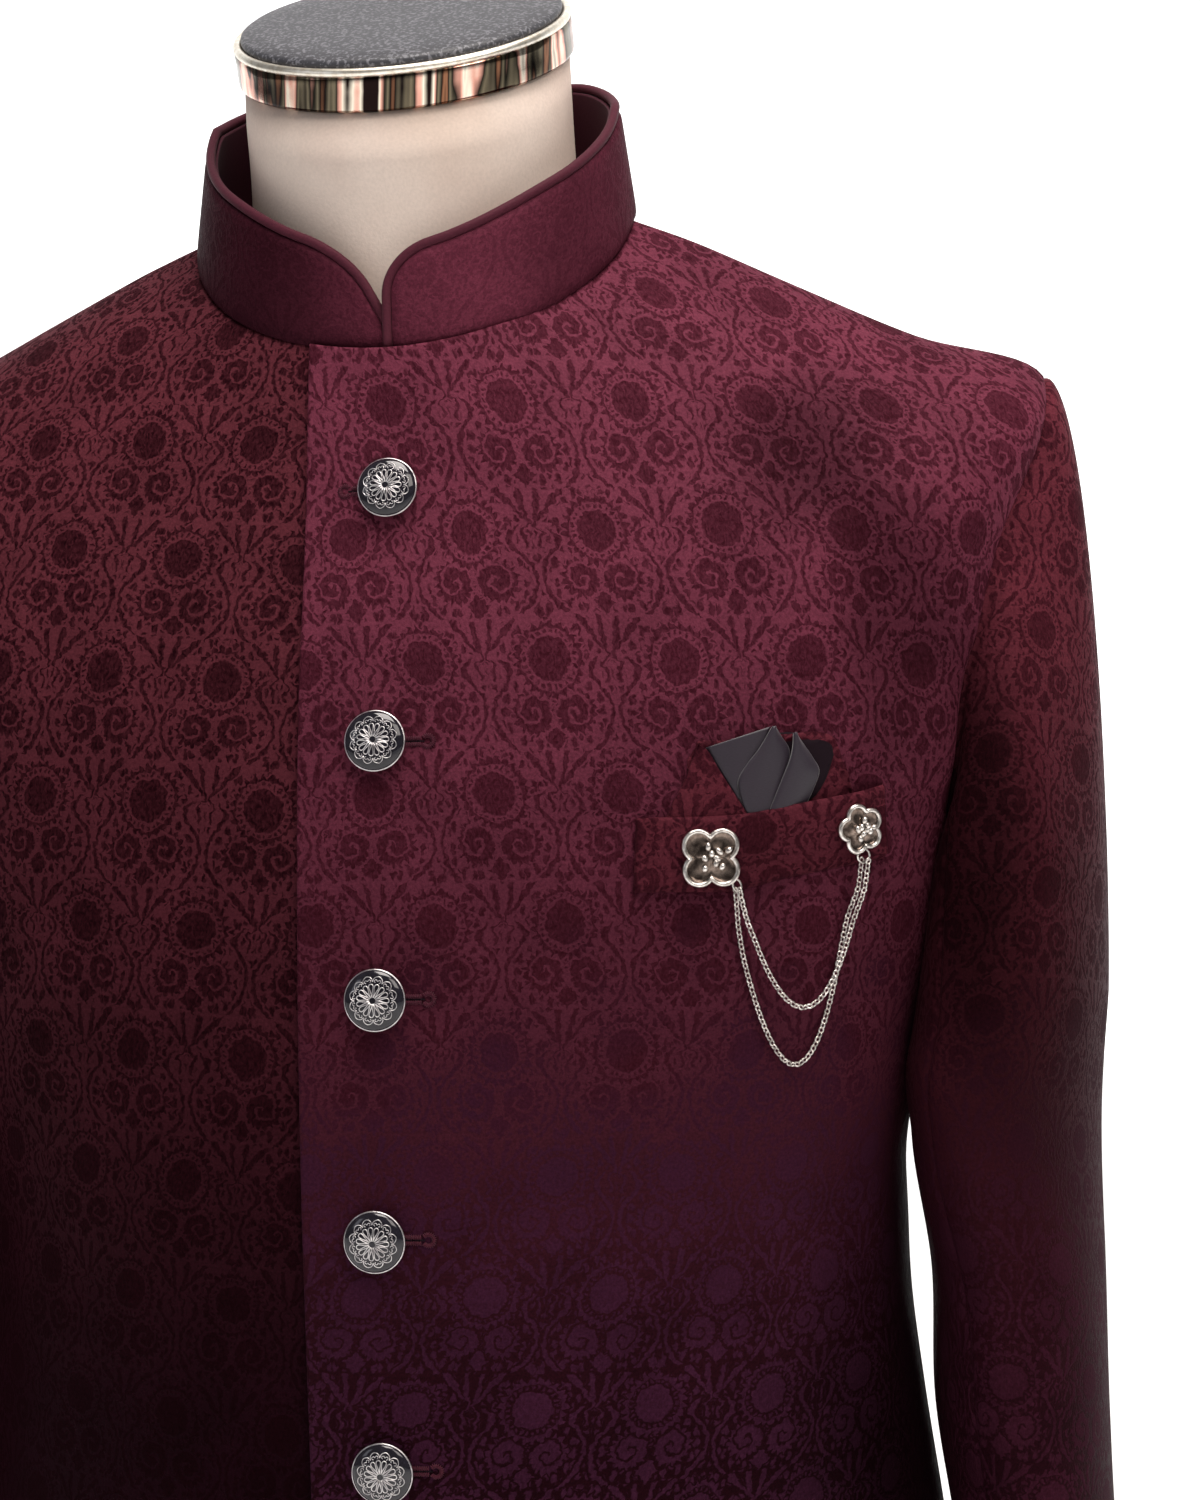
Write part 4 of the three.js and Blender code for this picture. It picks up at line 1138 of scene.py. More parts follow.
def brocade(
    name, flower, ground, figure, shaded_low_ground, shaded_low_figure, contrast=1.0, turn_at=0.42, painted_shades=()
):
    """Silk brocade, jacquard woven: a satin ground with a darker matt figure let into it. Its
    colour
    holds painted light and shade: the ground is painted lighter on the shoulders and darker low
    down, and low down the figure is painted paler than the ground, as a painted sheen."""
    material, tree, shader = finish_of(
        name, Roughness=0.6, IOR=1.06, Sheen_Weight=0.02, Sheen_Roughness=0.5,
        Sheen_Tint=linear("#c9748a"),
    )
    cloth = add(tree, "UVMap", uv_map="cloth")
    cloth = add(tree, "VectorMath", {0: cloth, SCALE_BY: 1000.0}, operation="SCALE")

    # threads wander over a hand's width and fray from one to the next
    pulled = cloth
    for scale, detail, amount in ((0.03, 1.0, 5.0), (0.42, 2.0, 3.4)):
        push = {"Vector": cloth, "Scale": scale, "Detail": detail}
        push = add(tree, "TexNoise", push, output=1)
        push = add(tree, "VectorMath", [push, (0.5, 0.5, 0.5)], operation="SUBTRACT")
        push = add(tree, "VectorMath", {0: push, SCALE_BY: amount}, operation="SCALE")
        pulled = add(tree, "VectorMath", [pulled, push], operation="ADD")

    # rows of the flower with a half drop, then leaves in the room between them
    spot = add(tree, "SeparateXYZ", [pulled]).node.outputs
    across = add(tree, "Math", [spot[0], DRAWN_ACROSS / FLOWER_ACROSS], operation="MULTIPLY")
    across = add(tree, "Math", [across, DRAWN_ACROSS / 2], operation="PINGPONG")
    beside = add(tree, "Math", [DRAWN_ACROSS / 2, across], operation="SUBTRACT")
    down = [spot[1], -DRAWN_DOWN / FLOWER_DOWN, FLOWER_START]
    down = add(tree, "Math", down, operation="MULTIPLY_ADD")
    repeats, rooms = [], []
    for off_axis, shift in ((across, 0), (beside, DRAWN_DOWN / 2)):
        height = add(tree, "Math", [down, shift], operation="ADD")
        height = add(tree, "Math", [height, DRAWN_DOWN], operation="FLOORED_MODULO")
        height = add(tree, "Math", [height, FLOWER_START], operation="SUBTRACT")
        repeat = add(tree, "Group", [off_axis, height], node_tree=flower).node
        repeats.append(repeat.outputs[0])
        rooms.append(repeat.outputs[1])
        if shift == 0:
            leaf = add(tree, "CombineXYZ", [off_axis, height])
    shape = add(tree, "Math", repeats, operation="MINIMUM")
    room = add(tree, "Math", rooms, operation="MINIMUM")
    room = add(tree, "Math", [1.2, room], operation="SUBTRACT")
    leaf = add(tree, "VectorMath", [leaf, (0.34, 0.2, 0)], operation="MULTIPLY")
    leaf = add(
        tree, "TexVoronoi", {"Vector": leaf, "Scale": 1.0, "Randomness": 0.75},
        voronoi_dimensions="2D",
    )
    leaf = add(tree, "Math", [leaf, 4.0, -1.35], operation="MULTIPLY_ADD")
    leaf = add(tree, "Math", [leaf, room], operation="MAXIMUM")
    shape = add(tree, "Math", [shape, leaf], operation="MINIMUM")
    pattern = add(
        tree, "MapRange", [shape, 0.3, -0.3, 0.0, 1.0], interpolation_type="SMOOTHSTEP"
    )

    # floats of the weft, 0.8 mm by 2.4 mm, coarser than real ones so that they show
    floats = add(tree, "VectorMath", [pulled, (1.25, 0.42, 0)], operation="MULTIPLY")
    floats = add(tree, "TexNoise", {"Vector": floats, "Scale": 1.0, "Detail": 2.0})
    floats = add(tree, "MapRange", [floats, 0.36, 0.66, 0.0, 1.0])
    speck = {"Vector": cloth, "Scale": 0.9, "Detail": 3.0, "Roughness": 0.7}
    speck = add(tree, "TexNoise", speck)
    speck = add(tree, "MapRange", [speck, 0.35, 0.68, 0.0, 1.0])
    clouds = add(tree, "TexNoise", {"Vector": cloth, "Scale": 0.035, "Detail": 2.0})
    clouds = add(tree, "MapRange", [clouds, 0.3, 0.7, 0.0, 1.0])
    thin = add(tree, "Math", [floats, -0.45, 1.0], operation="MULTIPLY_ADD")
    woven = add(tree, "Math", [pattern, thin], operation="MULTIPLY")
    woven = add(tree, "Math", [woven, contrast], operation="MULTIPLY")

    # ground and figure each have a painted lit colour high up and a painted shaded colour low
    # down, where the figure is painted paler than the ground as a painted sheen
    standing = add(tree, "TexCoord", output="Object")
    height = add(tree, "SeparateXYZ", [standing]).node.outputs[2]
    level = add(tree, "Math", [clouds, 0.06, height], operation="MULTIPLY_ADD")
    # painted shade: the figure's lit colour is darkened towards the bottom
    deep = add(tree, "MapRange", [height, 0.30, 0.70, 0.4, 1.0])
    deep = add(tree, "VectorMath", {0: linear(figure)[:3], SCALE_BY: deep}, operation="SCALE")
    sides = []
    for at, low, high, shaded_code, lit_colour in (
        (height, 0.30, 0.70, shaded_low_ground, linear(ground)),
        (level, turn_at, turn_at + 0.10, shaded_low_figure, deep),
    ):
        share = add(
            tree, "MapRange", [at, low, high, 0.0, 1.0], interpolation_type="SMOOTHSTEP"
        )
        codes = {SHARE: share, FIRST: linear(shaded_code), SECOND: lit_colour}
        sides.append(add(tree, "Mix", codes, output=MIXED, data_type="RGBA"))
    codes = {SHARE: woven, FIRST: sides[0], SECOND: sides[1]}
    colour = add(tree, "Mix", codes, output=MIXED, data_type="RGBA")
    shade = add(tree, "MapRange", [speck, 0.0, 1.0, 0.74, 1.22])
    tone = add(tree, "MapRange", [clouds, 0.0, 1.0, 0.86, 1.14])
    shade = add(tree, "Math", [shade, tone], operation="MULTIPLY")
    # painted shade: each patch darkens the colour where shade falls in a hollow or on a side
    # turned from the light
    for middle, size, share in painted_shades:
        reach = [1 / part for part in size]
        near = add(tree, "VectorMath", [standing, middle], operation="SUBTRACT")
        near = add(tree, "VectorMath", [near, reach], operation="MULTIPLY")
        near = add(tree, "VectorMath", [near], output="Value", operation="LENGTH")
        near = add(
            tree, "MapRange", [near, 0.25, 1.0, share, 1.0], interpolation_type="SMOOTHSTEP"
        )
        shade = add(tree, "Math", [shade, near], operation="MULTIPLY")
    colour = add(tree, "VectorMath", {0: colour, SCALE_BY: shade}, operation="SCALE")
    tree.links.new(colour, shader.inputs["Base Color"])
    gloss = add(tree, "MapRange", [woven, 0.0, 1.0, 0.46, 0.7])
    tree.links.new(gloss, shader.inputs["Roughness"])

    relief = add(tree, "Math", [pattern, 0.16, 0.0], operation="MULTIPLY_ADD")
    relief = add(tree, "Math", [floats, 0.10, relief], operation="MULTIPLY_ADD")
    relief = add(tree, "Math", [speck, 0.12, relief], operation="MULTIPLY_ADD")
    bump = add(tree, "Bump", {"Strength": 0.55, "Distance": 0.001, "Height": relief})
    tree.links.new(bump, shader.inputs["Normal"])
    return material


def two_tone(name, code, second, scale, detail=2.0, spread=(), bump=(), **sockets):
    """A material of two colours in a fine noise. The noise may be spread apart, and may
    stand up: how strongly, and how far in metres."""
    material, tree, shader = finish_of(name, **sockets)
    spot = add(tree, "TexCoord", output="Object")
    noise = add(tree, "TexNoise", {"Vector": spot, "Scale": scale, "Detail": detail})
    share = add(tree, "MapRange", [noise, *spread, 0.0, 1.0]) if spread else noise
    codes = {SHARE: share, FIRST: linear(code), SECOND: linear(second)}
    colour = add(tree, "Mix", codes, output=MIXED, data_type="RGBA")
    tree.links.new(colour, shader.inputs["Base Color"])
    if bump:
        strength, distance = bump
        relief = {"Strength": strength, "Distance": distance, "Height": noise}
        tree.links.new(add(tree, "Bump", relief), shader.inputs["Normal"])
    return material


def cloth_of(name, code, second, gloss, grain, depth):
    """Plain woven cloth: a fine even weave with slight change of tone along its threads."""
    return two_tone(
        name, code, second, 1000 / grain, 3.0, bump=(0.4, depth / 1000), Roughness=gloss,
        IOR=1.16, Sheen_Weight=0.04, Sheen_Roughness=0.4,
    )


def satin_of(name):
    """Grey silk satin, with soft light along each fold and threads too fine to see."""
    material, tree, shader = finish_of(
        name, Roughness=0.42, Specular_IOR_Level=0.4, Sheen_Weight=0.2, Sheen_Roughness=0.35
    )
    cloth = add(tree, "UVMap", uv_map="cloth")
    cloth = add(tree, "VectorMath", [cloth, (900, 3500, 0)], operation="MULTIPLY")
    thread = add(tree, "TexNoise", {"Vector": cloth, "Scale": 1.0, "Detail": 2.0})
    codes = {SHARE: thread, FIRST: linear("#201a22"), SECOND: linear("#322a34")}
    colour = add(tree, "Mix", codes, output=MIXED, data_type="RGBA")
    tree.links.new(colour, shader.inputs["Base Color"])
    bump = add(tree, "Bump", {"Strength": 0.15, "Distance": 0.0002, "Height": thread})
    tree.links.new(bump, shader.inputs["Normal"])
    return material


def silver_of(name, code, dark, gloss):
    """Cast white metal, polished and then darkened: bright and smoky in a fine random mottle.
    """
    return two_tone(
        name, code, dark, 420.0, spread=(0.38, 0.66), Metallic=1.0, Roughness=gloss
    )


def black_enamel():
    """Black enamel fired over a domed button, with a wet clear gloss."""
    return two_tone(
        "black_enamel", "#0d0c11", "#24212a", 300.0, Roughness=0.08, Specular_IOR_Level=0.35,
        Coat_Weight=0.3, Coat_Roughness=0.03,
    )


def speckled_top():
    """Dark grey moulded plastic with a fine pale speckle."""
    return two_tone(
        "speckled_plastic", "#38383d", "#6a6a70", 700.0, spread=(0.52, 0.62), Roughness=0.5,
        Specular_IOR_Level=0.4,
    )


def form_cover():
    """Cream jersey drawn over the form: matt and fine, with a faint brown stain in front."""
    material, tree, shader = finish_of("cream_jersey", Roughness=0.75, Specular_IOR_Level=0.25)
    spot = add(tree, "TexCoord", output="Object")
    grain = add(tree, "TexNoise", {"Vector": spot, "Scale": 900.0, "Detail": 3.0})
    cloud = add(tree, "TexNoise", {"Vector": spot, "Scale": 22.0, "Detail": 3.0})
    cloud = add(tree, "MapRange", [cloud, 0.35, 0.7, 0.0, 1.0])
    codes = {SHARE: cloud, FIRST: linear("#decdc1"), SECOND: linear("#d0bbaf")}
    colour = add(tree, "Mix", codes, output=MIXED, data_type="RGBA")
    stain = add(tree, "VectorMath", [spot, STAIN_PLACE], operation="DISTANCE", output="Value")
    stain = add(
        tree, "MapRange", [stain, 0.008, 0.032, 0.34, 0.0], interpolation_type="SMOOTHSTEP"
    )
    codes = {SHARE: stain, FIRST: colour, SECOND: linear("#a98a72")}
    colour = add(tree, "Mix", codes, output=MIXED, data_type="RGBA")
    shade = add(tree, "MapRange", [grain, 0.3, 0.7, 0.95, 1.04])
    colour = add(tree, "VectorMath", {0: colour, SCALE_BY: shade}, operation="SCALE")
    tree.links.new(colour, shader.inputs["Base Color"])
    bump = add(tree, "Bump", {"Strength": 0.3, "Distance": 0.0003, "Height": grain})
    tree.links.new(bump, shader.inputs["Normal"])
    return material


def mirror_band():
    """Chromed sheet rolled into a band, with a painted reflection: upright streaks of the
    room's colours are painted into its base colour.
    """
    material, tree, shader = finish_of("chromed_band", Metallic=1.0, Roughness=0.16)
    spot = add(tree, "TexCoord", output="Object")
    tilt = math.radians(NECK_CAP["tilt"])
    ways = [
        add(tree, "VectorMath", [spot, way], output="Value", operation="DOT_PRODUCT")
        for way in ((1.0, 0.08, -0.14), (0, 0.6 * math.cos(tilt), 0.6 * math.sin(tilt)))
    ]
    painted_reflection = add(tree, "CombineXYZ", ways)
    painted_reflection = add(tree, "TexNoise", {"Vector": painted_reflection, "Scale": 105.0, "Detail": 2.0})
    ramp = add(tree, "ValToRGB", [painted_reflection])
    dots = ramp.node.color_ramp.elements
    # painted reflection: the colours of the room's upright streaks
    stops = [
        (0.33, "#0c0a0b"), (0.39, "#8a6048"), (0.43, "#120e10"), (0.48, "#6f6654"),
        (0.52, "#1b1a17"), (0.56, "#d9a08f"), (0.60, "#efe3d0"), (0.66, "#1d1413"),
    ]
    for at, _ in stops[1:-1]:
        dots.new(at)
    for dot, (at, code) in zip(dots, stops):
        dot.position = at
        dot.color = linear(code)
    tree.links.new(ramp, shader.inputs["Base Color"])
    return material


def even_line(points, count):
    """Points spaced evenly along a line through a few given ones."""
    points = np.asarray(points, float)
    walked = walk_along(points)
    spots = np.interp(np.linspace(0, walked[-1], count), walked, range(len(points)))
    return row_at(points, spots)


def ruled(first, last, across, rows, lift):
    """A strip of cloth between two edges, on the front: lift(u, v) holds it off the panel."""
    a, b = even_line(first, rows), even_line(last, rows)
    u = np.linspace(0, 1, across)
    v = np.linspace(0, 1, rows)[:, None]
    flat = lerp(a[:, None, :], b[:, None, :], u[None, :, None])
    grid = on_front(flat[..., 0], flat[..., 1], lift(u[None, :] + 0 * v, v + 0 * u[None, :]))
    return grid, flat


def facing_out(name, grid, flat):
    """A grid object whose faces look away from the jacket, with its cloth coordinates."""
    across = grid[0, -1] - grid[0, 0]
    rise = grid[-1, grid.shape[1] // 2] - grid[0, grid.shape[1] // 2]
    obj = grid_object(name, grid, flip=np.cross(across, rise)[1] > 0)
    flat_cloth(obj, flat)
    return obj


def pocket(cloth, satin, dark):
    def mouth(u, v):
        open_here = smooth(0, 0.1, u) * smooth(1, 0.86, u)
        edge = round_over(np.minimum(u, 1 - u) * 84, 1.6) + round_over((1 - v) * 26, 1.2)
        return 3.0 - 2.2 * smooth(0.08, 0.0, v) + 3.2 * open_here * smooth(0.1, 0.8, v) - edge

    grid, flat = ruled(WELT_LOW, WELT_TOP, 28, 72, lambda u, v: mouth(v, u))
    grid, flat = grid.transpose(1, 0, 2), flat.transpose(1, 0, 2)
    welt = facing_out("pocket_welt_cloth", grid, flat)
    cloth_piece(
        welt, 1.3, cloth, cloth, "brocade", "hung", "front_left_cloth", "pocket_welt"
    )

    low = [[x, -172.0 + 0.12 * (x - 108)] for x, _ in BACK_TOP]
    grid, flat = ruled(BACK_TOP, low, 14, 60, lambda u, v: 1.5 + 0.9 * smooth(0.2, 0, u))
    backing = facing_out("pocket_square_back_cloth", grid, flat)
    cloth_piece(
        backing, 0.8, cloth, cloth, "brocade", "folded", "front_left_cloth",
        "pocket_square_back",
    )

    # a near-black sheet in the pocket square's hollow: painted shadow where the folds part
    grid, flat = ruled(HOLLOW_TOP, HOLLOW_LOW, 10, 30, lambda u, v: 2.0 + 0 * u)
    hollow = facing_out("pocket_square_painted_shadow", grid, flat)
    thicken(hollow, 0.5)
    paint(hollow, dark, dark)
    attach(hollow, "root")

    for number, pleat in enumerate(PLEATS, 1):
        high, low_side = pleat["lift"]

        def held(u, v):
            fold = lerp(high, low_side, u**1.6) + 0.9 * np.sin(np.pi * u)
            return fold * lerp(1.0, 0.7, v) - round_over(u * 12, 0.8) + 0.6

        grid, flat = ruled(pleat["left"], pleat["right"], 26, 40, held)
        fold = facing_out(f"pocket_square_pleat_{number}", grid, flat)
        cloth_piece(
            fold, 0.6, satin, satin, "grey_satin", "folded", "pocket_square_back_cloth",
            "pocket_square_fan",
        )

    def flap_lift(u, _):
        return 3.4 + 1.2 * u - round_over((1 - u) * 16, 0.9) - round_over(u * 16, 0.9)

    grid, flat = ruled(FLAP_LEFT, FLAP_RIGHT, 30, 44, flap_lift)
    flap = facing_out("pocket_square_flap", grid, flat)
    cloth_piece(
        flap, 0.9, cloth, cloth, "brocade", "folded", "pocket_square_pleat_1",
        "pocket_square_front",
    )


def dome_height(reach):
    """Height of the enamel dome above the panel, at a share of the button's radius."""
    rounded = np.maximum(0, 1 - (np.asarray(reach) / DOME_EDGE) ** 2)
    return DOME_FOOT + DOME_RISE * np.sqrt(rounded * 0.999 + 0.001)


def on_dome(frame, turn, reach, lift):
    middle, across, up, out = frame
    turn, reach = np.asarray(turn, float), np.asarray(reach, float)
    flat = BUTTON_RADIUS * reach
    return (
        middle
        + (flat * np.cos(turn))[..., None] * across
        + (flat * np.sin(turn))[..., None] * up
        + (dome_height(reach) + lift)[..., None] * out
    )


def filigree(name, frame):
    """Fine wire petals round the middle, with a scalloped lace of curls outside them."""
    parts = []
    s = np.linspace(0, 1, 15)
    for petal in range(PETALS):
        middle = 2 * math.pi * petal / PETALS
        half = 0.8 * math.pi / PETALS
        reach = 0.1 + 0.43 * np.sin(math.pi * s) ** 0.8
        swing = half * np.sin(2 * math.pi * s) * np.where(reach > 0.12, 1, 0.6)
        parts.append(tube_mesh(on_dome(frame, middle + swing, reach, 0.03), 0.2, 5))
    for scallop in range(LACE):
        middle = 2 * math.pi * (scallop + 0.5) / LACE
        half = math.pi / LACE
        arch = np.linspace(-1, 1, 13)
        reach = 0.6 + 0.15 * np.sqrt(np.maximum(0, 1 - arch**2)) + 0.03 * (1 - np.abs(arch))
        parts.append(tube_mesh(on_dome(frame, middle + half * arch, reach, 0.02), 0.17, 5))
        for side in (-1, 1):
            curl = np.linspace(0, 1.5 * math.pi, 11)
            size = 0.055 * (1 - 0.35 * curl / curl[-1])
            reach = 0.6 + size * np.sin(curl) + 0.02
            swing = side * (0.1 - size * np.cos(curl) / 0.62)
            parts.append(tube_mesh(on_dome(frame, middle + swing, reach, 0.02), 0.15, 4))
    return joined(name, parts)


def buttons(enamel, silver):
    shares = np.array([0.97, 0.955, 0.93, 0.89, 0.83, 0.75, 0.65, 0.53, 0.4, 0.26, 0.12, 0.04])
    dome = [[2.8, 0.3], [2.8, 2.0], [BUTTON_RADIUS * 0.9, 2.6]]
    dome += [[BUTTON_RADIUS * share, float(dome_height(share))] for share in shares]
    for number, (x, z) in enumerate(zip(BUTTON_X, BUTTON_HEIGHTS), 1):
        frame = front_frame(x, z)
        node = f"button_{number}"
        body = turned(node + "_dome", frame, dome, 72)
        hard_piece(body, enamel, "black_button", node)
        middle, across, up, out = frame
        ring = np.linspace(0, 2 * math.pi, 73)[:, None]
        path = middle + out * 3.55 + (BUTTON_RADIUS - 0.45) * (
            np.cos(ring) * across + np.sin(ring) * up
        )
        rim = mesh_object(node + "_rim", *tube_mesh(path, 0.45, 8, False))
        hard_piece(rim, silver, "gunmetal")
        lace = filigree(node + "_filigree", frame)
        hard_piece(lace, silver, "gunmetal")


def buttonholes(thread, dark):
    """A keyhole for each button, worked round with close purl stitches."""
    for number, (x, z) in enumerate(zip(BUTTON_X, BUTTON_HEIGHTS), 1):
        way = -1 if number == 1 else 1
        first = x - way * 7 if way > 0 else x + 9
        eye = first + way * BUTTONHOLE
        stitches = []
        for side in (-1, 1):
            for step in np.arange(0, BUTTONHOLE - 2.2, STITCH_STEP):
                stitches.append((first + way * step, z + side * HOLE_HALF, 0, side))
        for turn in np.radians(np.arange(-140, 141, 16)):
            across, up = EYE_RADIUS * math.cos(turn), EYE_RADIUS * math.sin(turn)
            stitches.append((eye + way * across, z + up, turn * way, 0))
        parts = []
        for sx, sz, turn, side in stitches:
            if side == 0:
                run = np.array([way * math.cos(turn * way), math.sin(turn * way)])
            else:
                run = np.array([0.0, float(side)])
            ends = np.array([[sx, sz] - run * 0.75, [sx, sz] + run * 0.85])
            spots = lerp(ends[0], ends[1], np.linspace(0, 1, 5)[:, None])
            path = on_front(spots[:, 0], spots[:, 1], np.array([0.1, 0.5, 0.62, 0.5, 0.05]))
            parts.append(tube_mesh(path, [0.12, 0.3, 0.32, 0.3, 0.12], 5))
        worked = joined(f"buttonhole_{number}_stitches", parts)
        paint(worked, thread)
        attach(worked, "root")
        # the slit is a thin dark tube: painted shadow in the cut
        line = np.linspace(first, eye - way * 1.2, 12)
        slit = on_front(line, 0 * line + z, 0 * line + 0.12)
        opening = mesh_object(f"buttonhole_{number}_slit", *tube_mesh(slit, 0.3, 6))
        paint(opening, dark)
        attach(opening, "root")


def lobes(count, middle, size, start):
    """Outline of overlapping round lobes, as a radius for each direction."""

    def outline(turns):
        reach = np.zeros_like(turns)
        for k in range(count):
            off = turns - (start + 2 * math.pi * k / count)
            inside = size**2 - (middle * np.sin(off)) ** 2
            hit = middle * np.cos(off) + np.sqrt(np.maximum(inside, 0))
            reach = np.maximum(reach, np.where(inside > 0, hit, 0))
        return reach

    return outline


def brooch(name, frame, outline, silver, smoky, seed):
    middle, across, up, out = frame
    lift = BROOCH_LIFT
    turns = np.linspace(0, 2 * math.pi, 144, endpoint=False)
    dish = [
        [0.86, lift - 0.9], [0.97, lift - 0.5], [1.0, lift + 0.4], [0.96, lift + 1.1],
        [0.9, lift + 1.0], [0.84, lift + 0.35], [0.72, lift + 0.1], [0.55, lift + 0.15],
        [0.38, lift + 0.5], [0.2, lift + 0.9], [0.05, lift + 1.0],
    ]
    plate = turned(name + "_plate", frame, dish, 144, outline)
    hard_piece(plate, smoky, "gunmetal", name)
    reach = outline(turns)
    ring = np.append(turns, turns[0])[:, None]
    edge = np.append(reach, reach[0])[:, None] * 0.94
    path = middle + out * (lift + 0.75) + edge * (np.cos(ring) * across + np.sin(ring) * up)
    rim = mesh_object(name + "_rim", *tube_mesh(path, 0.85, 8, False))
    hard_piece(rim, silver, "gunmetal")

    chance = np.random.default_rng(seed)
    parts = []
    span = reach.max()
    for petal in range(9):
        turn = 2.4 * petal + chance.uniform(-0.3, 0.3)
        off = span * (0.1 + 0.045 * petal) + chance.uniform(-0.3, 0.3)
        long_way = chance.uniform(0, math.pi)
        size = chance.uniform(1.1, 1.7)
        aside = math.cos(turn) * across + math.sin(turn) * up
        spot = middle + out * (lift + 1.3) + off * aside
        spot = spot + across * span * 0.09
        way = math.cos(long_way) * across + math.sin(long_way) * up
        spread = np.linspace(-1, 1, 9)[:, None]
        path = spot + way * spread * size + out * 0.35 * (1 - spread**2)
        sizes = 0.08 + 0.95 * np.sqrt(np.maximum(0, 1 - spread[:, 0] ** 2))
        parts.append(tube_mesh(path, sizes, 8))
    heart = joined(name + "_petals", parts)
    hard_piece(heart, silver, "gunmetal")


def link(middle, along, side, length, width, wire):
    """One closed link: an oval ring of wire."""
    turns = np.linspace(0, 2 * math.pi, 13)[:, None]
    path = (
        middle
        + along * np.cos(turns) * (length / 2 - wire)
        + side * np.sin(turns) * (width / 2 - wire)
    )
    return tube_mesh(path, wire, 5, False)


def chain_line(drop, skew, side):
    first = np.array([LARGE_BROOCH["x"] + 8.6, LARGE_BROOCH["z"] - 11.2])
    last = np.array([SMALL_BROOCH["x"] + 1, SMALL_BROOCH["z"] - 11])
    t = np.linspace(0, 1, 400)
    u = t - skew * 0.03 * np.sin(math.pi * t)
    hang = (1 - (2 * u - 1) ** 2) ** 0.92
    apart = side * lerp(0.3, 1.0, smooth(0, 0.12, t) * smooth(1, 0.88, t))
    x = lerp(first[0] - 0.4, last[0] - 0.3, u) + apart
    z = lerp(first[1], last[1], t) - drop * hang
    near = smooth(WELT_FOOT - 14, WELT_FOOT + 2, z)
    return on_front(x, z, lerp(1.7, 5.6, near) + (2.6 if side > 0 else 0))


def chains(silver):
    for name, drop, skew, side in CHAINS:
        line = chain_line(drop, skew, side)
        walked = walk_along(line)
        stops = np.linspace(0, walked[-1], int(walked[-1] / LINK_STEP))
        spots = np.stack([np.interp(stops, walked, line[:, k]) for k in range(3)], -1)
        along = unit(np.gradient(spots, axis=0))
        parts = []
        for k, (spot, ahead) in enumerate(zip(spots, along)):
            out = unit(np.array([0, -1.0, 0]) - ahead * -ahead[1])
            flat = np.cross(ahead, out)
            lean = math.radians(48 if k % 2 else -38)
            side_way = flat * math.cos(lean) + out * math.sin(lean)
            parts.append(link(spot, ahead, side_way, LINK_LENGTH, LINK_WIDTH, LINK_WIRE))
        obj = joined(name + "_links", parts)
        hard_piece(obj, silver, "gunmetal", name)


def chain_rings(silver):
    parts = []
    x, z = SMALL_BROOCH["x"] + 0.6, SMALL_BROOCH["z"] - 9.4
    _, across, up, _ = front_frame(x, z)
    spot = on_front(x, z, 6.4)
    parts.append(link(spot, up, across, 5.8, 5.8, 0.42))
    x, z = LARGE_BROOCH["x"] + 8.2, LARGE_BROOCH["z"] - 9.6
    _, across, up, _ = front_frame(x, z)
    spot = on_front(x, z, 6.2)
    tilt = unit(up * 0.9 - across * 0.25)
    parts.append(link(spot, tilt, unit(across + up * 0.28), 5.2, 3.7, 0.4))
    hard_piece(joined("chain_rings", parts), silver, "gunmetal")


# How far the form stays inside the jacket, at some of the body's levels
FORM_LEVELS = [0, 3, 6, 9, 11, 12, 13, 16]
FORM_INSET = [9, 9, 8, 8, 5, 3.4, 3.2, 3.2]
# Rings up the form's neck: half width, half depth, height of the middle, middle Y
NECK_RINGS = [
    [76, 57, 33, 64.5], [69, 55, 38, 65], [65, 54, 46, 65], [63, 54.5, 60, 64.5],
    [62.2, 56, 80, 62], [62, 60, 101, 58],
]
NECK_SLOPE = 27


def dress_form(cover):
    count = 96
    angles = np.linspace(0, 360, count, endpoint=False)
    rings = []
    for level in np.concatenate([np.linspace(0, 9, 26), np.linspace(9.3, 15.1, 26)]):
        point, normal = plain_point(angles, level), plain_normal(angles, level)
        side = np.abs(np.sin(np.radians(angles))) ** 6
        extra = side * 9 * smooth(8.6, 10, level) * smooth(13, 11.9, level)
        pressed = np.minimum(0, fold_depth(point, FOLDS + FRONT_CREASES))
        back = -np.interp(level, FORM_LEVELS, FORM_INSET) - extra + pressed
        rings.append(point + normal * back[:, None])
    low = rings[0].copy()
    low[:, 2] = FORM_BOTTOM
    rounded = []
    for share in (0, 0.3, 0.6, 0.85, 1):
        turn = math.radians(90 * share)
        ring = low.copy()
        pull = 1 - 0.012 * (1 - math.sin(turn))
        ring[:, 0] *= pull
        ring[:, 1] = FORM_MIDDLE_Y + (ring[:, 1] - FORM_MIDDLE_Y) * pull
        ring[:, 2] += 2.4 * (1 - math.cos(turn))
        rounded.append(ring)
    turns = np.radians(angles)
    for half, deep, z, y in row_at(NECK_RINGS, np.linspace(0, 5, 26)):
        back = -deep * np.cos(turns)
        rise = math.tan(math.radians(NECK_SLOPE)) * back
        rings.append(np.stack([half * np.sin(turns), y + back, z + rise], -1))
    rings.append(cap_ring(NECK_CAP["radius"] - 2, -0.3, count))
    grid = np.array(rounded + rings)
    faces = grid_faces(len(grid), count, closed=True)
    faces.append(list(range(count))[::-1])
    faces.append([(len(grid) - 1) * count + k for k in range(count)])
    body = mesh_object("dress_form_body", grid, faces)
    hard_piece(body, cover, "form_skin", "dress_form")


